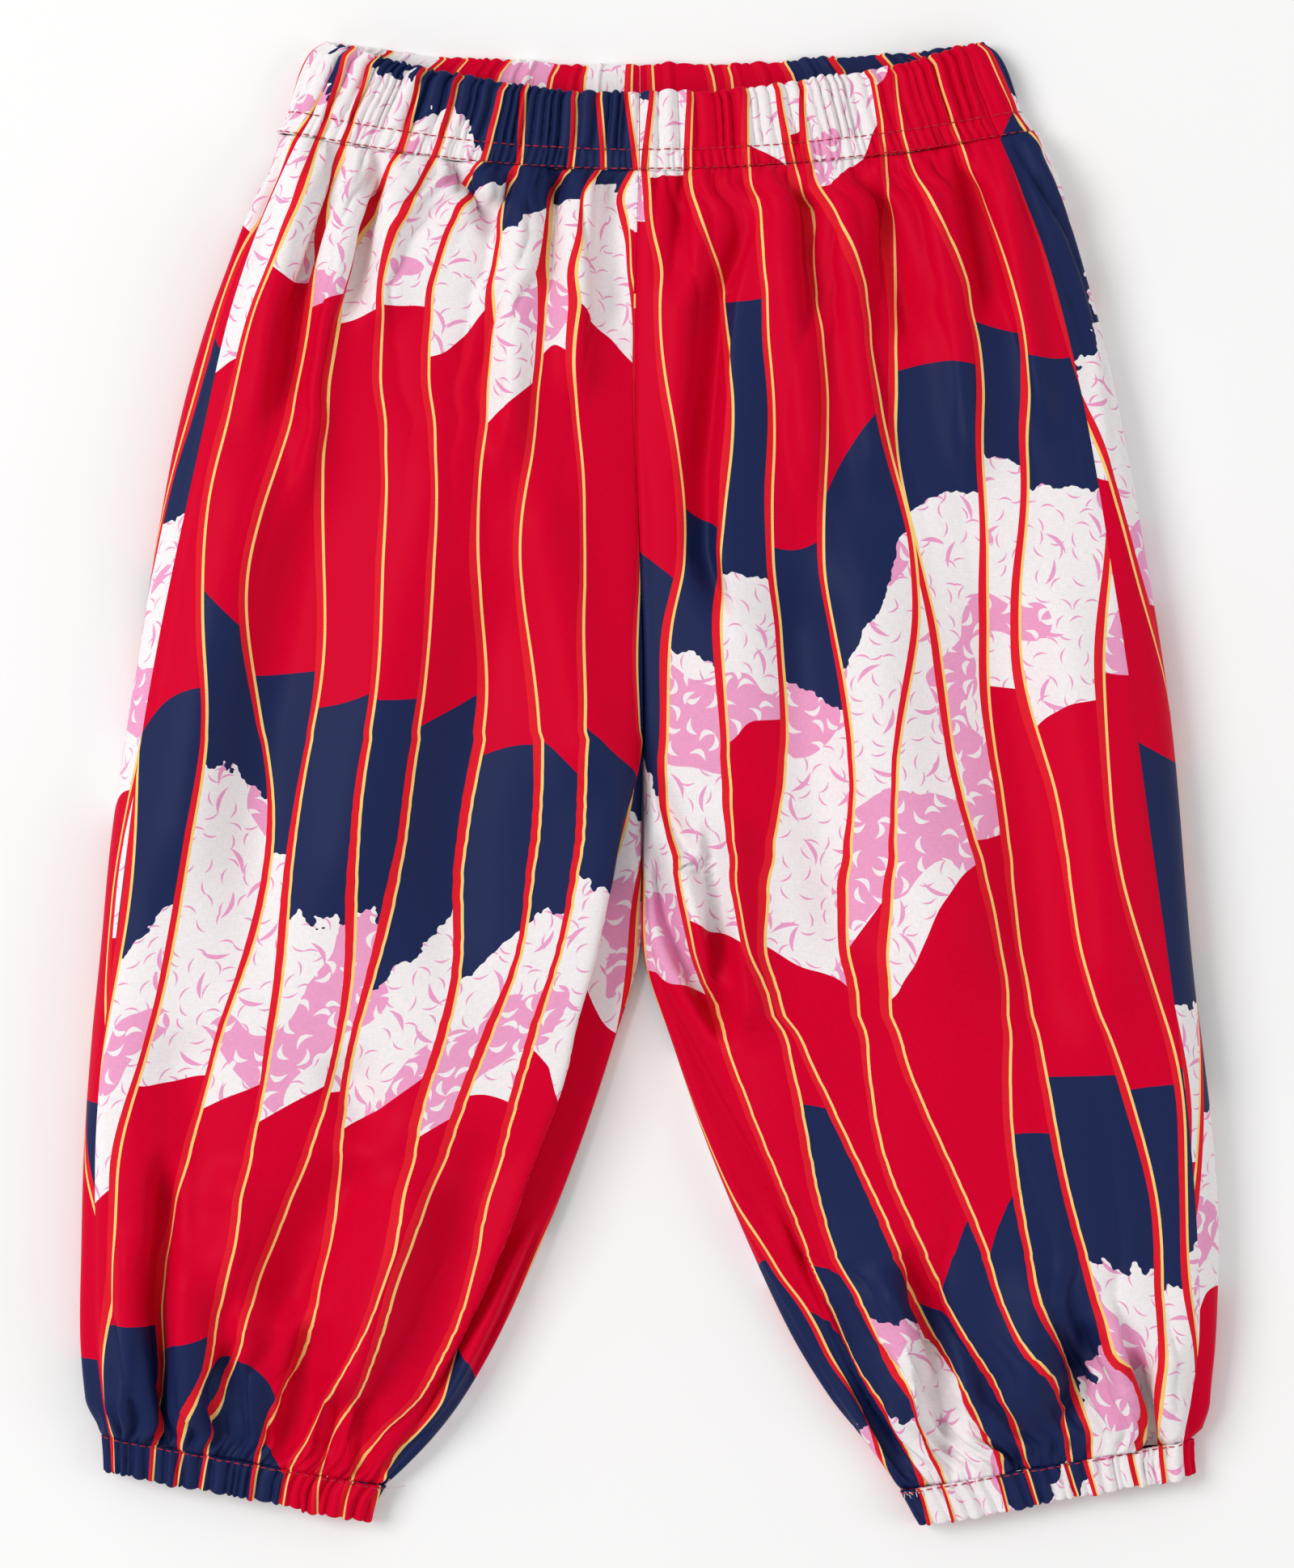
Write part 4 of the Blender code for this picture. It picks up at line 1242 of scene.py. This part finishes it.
# Tacks that zigzag between two rows of a cuff's grid, and loose ends that leave
# a spot of it: reach across and along, bow on the way and fall
tacks = {
    "cuffRightFront": {"count": 9, "rows": (3, 0), "column": 4, "columnStep": 2},
    "cuffLeftFront": {"count": 4, "rows": (2, 0), "column": 3, "columnStep": 2},
}
looseRun = {
    "piece": "cuffLeftFront",
    "row": 1,
    "column": 4,
    "reaches": ((6.5, 0.4), (3.0, 3.4)),
    "bow": (0.5, 0.9, 0.4),
    "fall": -3.0,
}
stitchSlips = {"waist": 0.5, "cuff": -0.6}  # how far stitches lie above the plan's line


def tackRuns(name, outside, ways):
    tack = tacks[name]
    runs = []
    for step in range(tack["count"]):
        rows = tack["rows"][::-1] if step % 2 else tack["rows"]
        column = tack["column"] + tack["columnStep"] * step
        columns = (column, column + tack["columnStep"])
        runs.append((outside[rows, columns], ways[rows, columns]))
    return runs


def looseRuns(outside, ways):
    start = outside[looseRun["row"], looseRun["column"]]
    way = ways[looseRun["row"], looseRun["column"]]
    bowX, bowY, bowZ = looseRun["bow"]
    runs = []
    for x, y in looseRun["reaches"]:
        route = [start, start + (x * bowX, y * bowY, bowZ), start + (x, y, looseRun["fall"])]
        runs.append((np.array(route), np.array([way] * len(route))))
    return runs


casingPieces, waistLines, cuffLines, tackLines, looseLines = {}, [], [], [], []
for part in ("front", "back"):
    name = "waistCasing" + part.capitalize()
    piece, outside, ways, ys = makeCasing(name, (leftHalf, rightHalf), part, True)
    finishPiece(piece, gatheredCloth, ["waist_casing_" + part])
    casingPieces[name] = piece
    for y in (plan["upperStitching"], plan["lowerStitching"] + stitchSlips["waist"]):
        waistLines.append(stitchLine(outside, ways, ys, y))
    for half in (leftHalf, rightHalf):
        name = "cuff" + half["name"] + part.capitalize()
        piece, outside, ways, ys = makeCasing(name, (half,), part, False)
        finishPiece(piece, gatheredCloth, ["cuff_" + half["name"].lower() + "_" + part])
        casingPieces[name] = piece
        cuffLines.append(stitchLine(outside, ways, ys, plan["cuffStitching"] + stitchSlips["cuff"]))
        if name in tacks:
            tackLines += tackRuns(name, outside, ways)
        if name == looseRun["piece"]:
            looseLines += looseRuns(outside, ways)
print("casings made")

finishPiece(makeStitches("waistStitching", waistLines, stitching), redThread)
finishPiece(makeStitches("cuffStitching", cuffLines, stitching), redThread)
finishPiece(makeStitches("cuffTacks", tackLines, tacking), paleThread)
finishPiece(makeStitches("looseThreads", looseLines, looseEnd), paleThread)
print("stitching made")

# Studio, in metres: a pale floor, a large soft light from the left, a weak one
# from the right, pale surroundings
studio = {
    "floorColour": (0.92, 0.918, 0.914, 1),
    "floorSpeckle": (0.93, 0.928, 0.924, 1),
    "floorSpeckleScale": 14.0,
    "floorRoughness": 0.9,
    "floorSize": 6.0,
    "floorDepth": 0.00025,  # below the cloth's own underside
    "softboxPlace": (-2.1, 0.6, 2.4),
    "softboxSize": 1.6,
    "softboxPower": 58.0,
    "fillPlace": (2.4, -0.2, 1.5),
    "fillSize": 1.2,
    "fillPower": 11.0,
    "surroundingsColour": (1.0, 1.0, 1.0, 1),
    "surroundings": 0.585,
    "cameraHeight": 1.5,
    "cameraAcross": -0.0015,
    "fieldLength": 0.4872,  # what the camera sees, from top to bottom
}
model = bmesh.new()
bmesh.ops.create_grid(model, x_segments=1, y_segments=1, size=studio["floorSize"] / 2)
bmesh.ops.translate(model, verts=model.verts, vec=(0, 0, -studio["floorDepth"]))
floorMesh = bpy.data.meshes.new("studioFloor")
model.to_mesh(floorMesh)
model.free()
floor = placeObject("studioFloor", floorMesh)
paper, paperTree, paperShader = startMaterial("palePaper")
paperPlace = addNode(paperTree, "ShaderNodeTexCoord").outputs["Object"]
speckle = addNode(paperTree, "ShaderNodeTexNoise")
fitNode(paperTree, speckle, {"Scale": studio["floorSpeckleScale"]}, {"Vector": paperPlace})
paperColour = blendColours(paperTree, speckle.outputs[0], studio["floorColour"], studio["floorSpeckle"])
fitNode(paperTree, paperShader, {"Roughness": studio["floorRoughness"]}, {"Base Color": paperColour})
floor.data.materials.append(paper)

for name in ("softbox", "fill"):
    lampData = bpy.data.lights.new(name, "AREA")
    lampData.shape = "SQUARE"
    lampData.size = studio[name + "Size"]
    lampData.energy = studio[name + "Power"]
    lamp = placeObject(name, lampData)
    lamp.location = studio[name + "Place"]
    lamp.rotation_euler = (-Vector(studio[name + "Place"])).to_track_quat("-Z", "Y").to_euler()
world = bpy.data.worlds.new("paleRoom")
world.use_nodes = True
world.node_tree.nodes["Background"].inputs["Color"].default_value = studio["surroundingsColour"]
world.node_tree.nodes["Background"].inputs["Strength"].default_value = studio["surroundings"]
bpy.context.scene.world = world

cameraData = bpy.data.cameras.new("camera")
cameraData.sensor_width = 36.0
cameraData.lens = cameraData.sensor_width / 2 / (studio["fieldLength"] / 2 / studio["cameraHeight"])
camera = placeObject("camera", cameraData)
camera.location = (studio["cameraAcross"], 0.0, studio["cameraHeight"])
bpy.context.scene.camera = camera
bpy.context.scene.view_settings.view_transform = "Standard"
print("studio made")
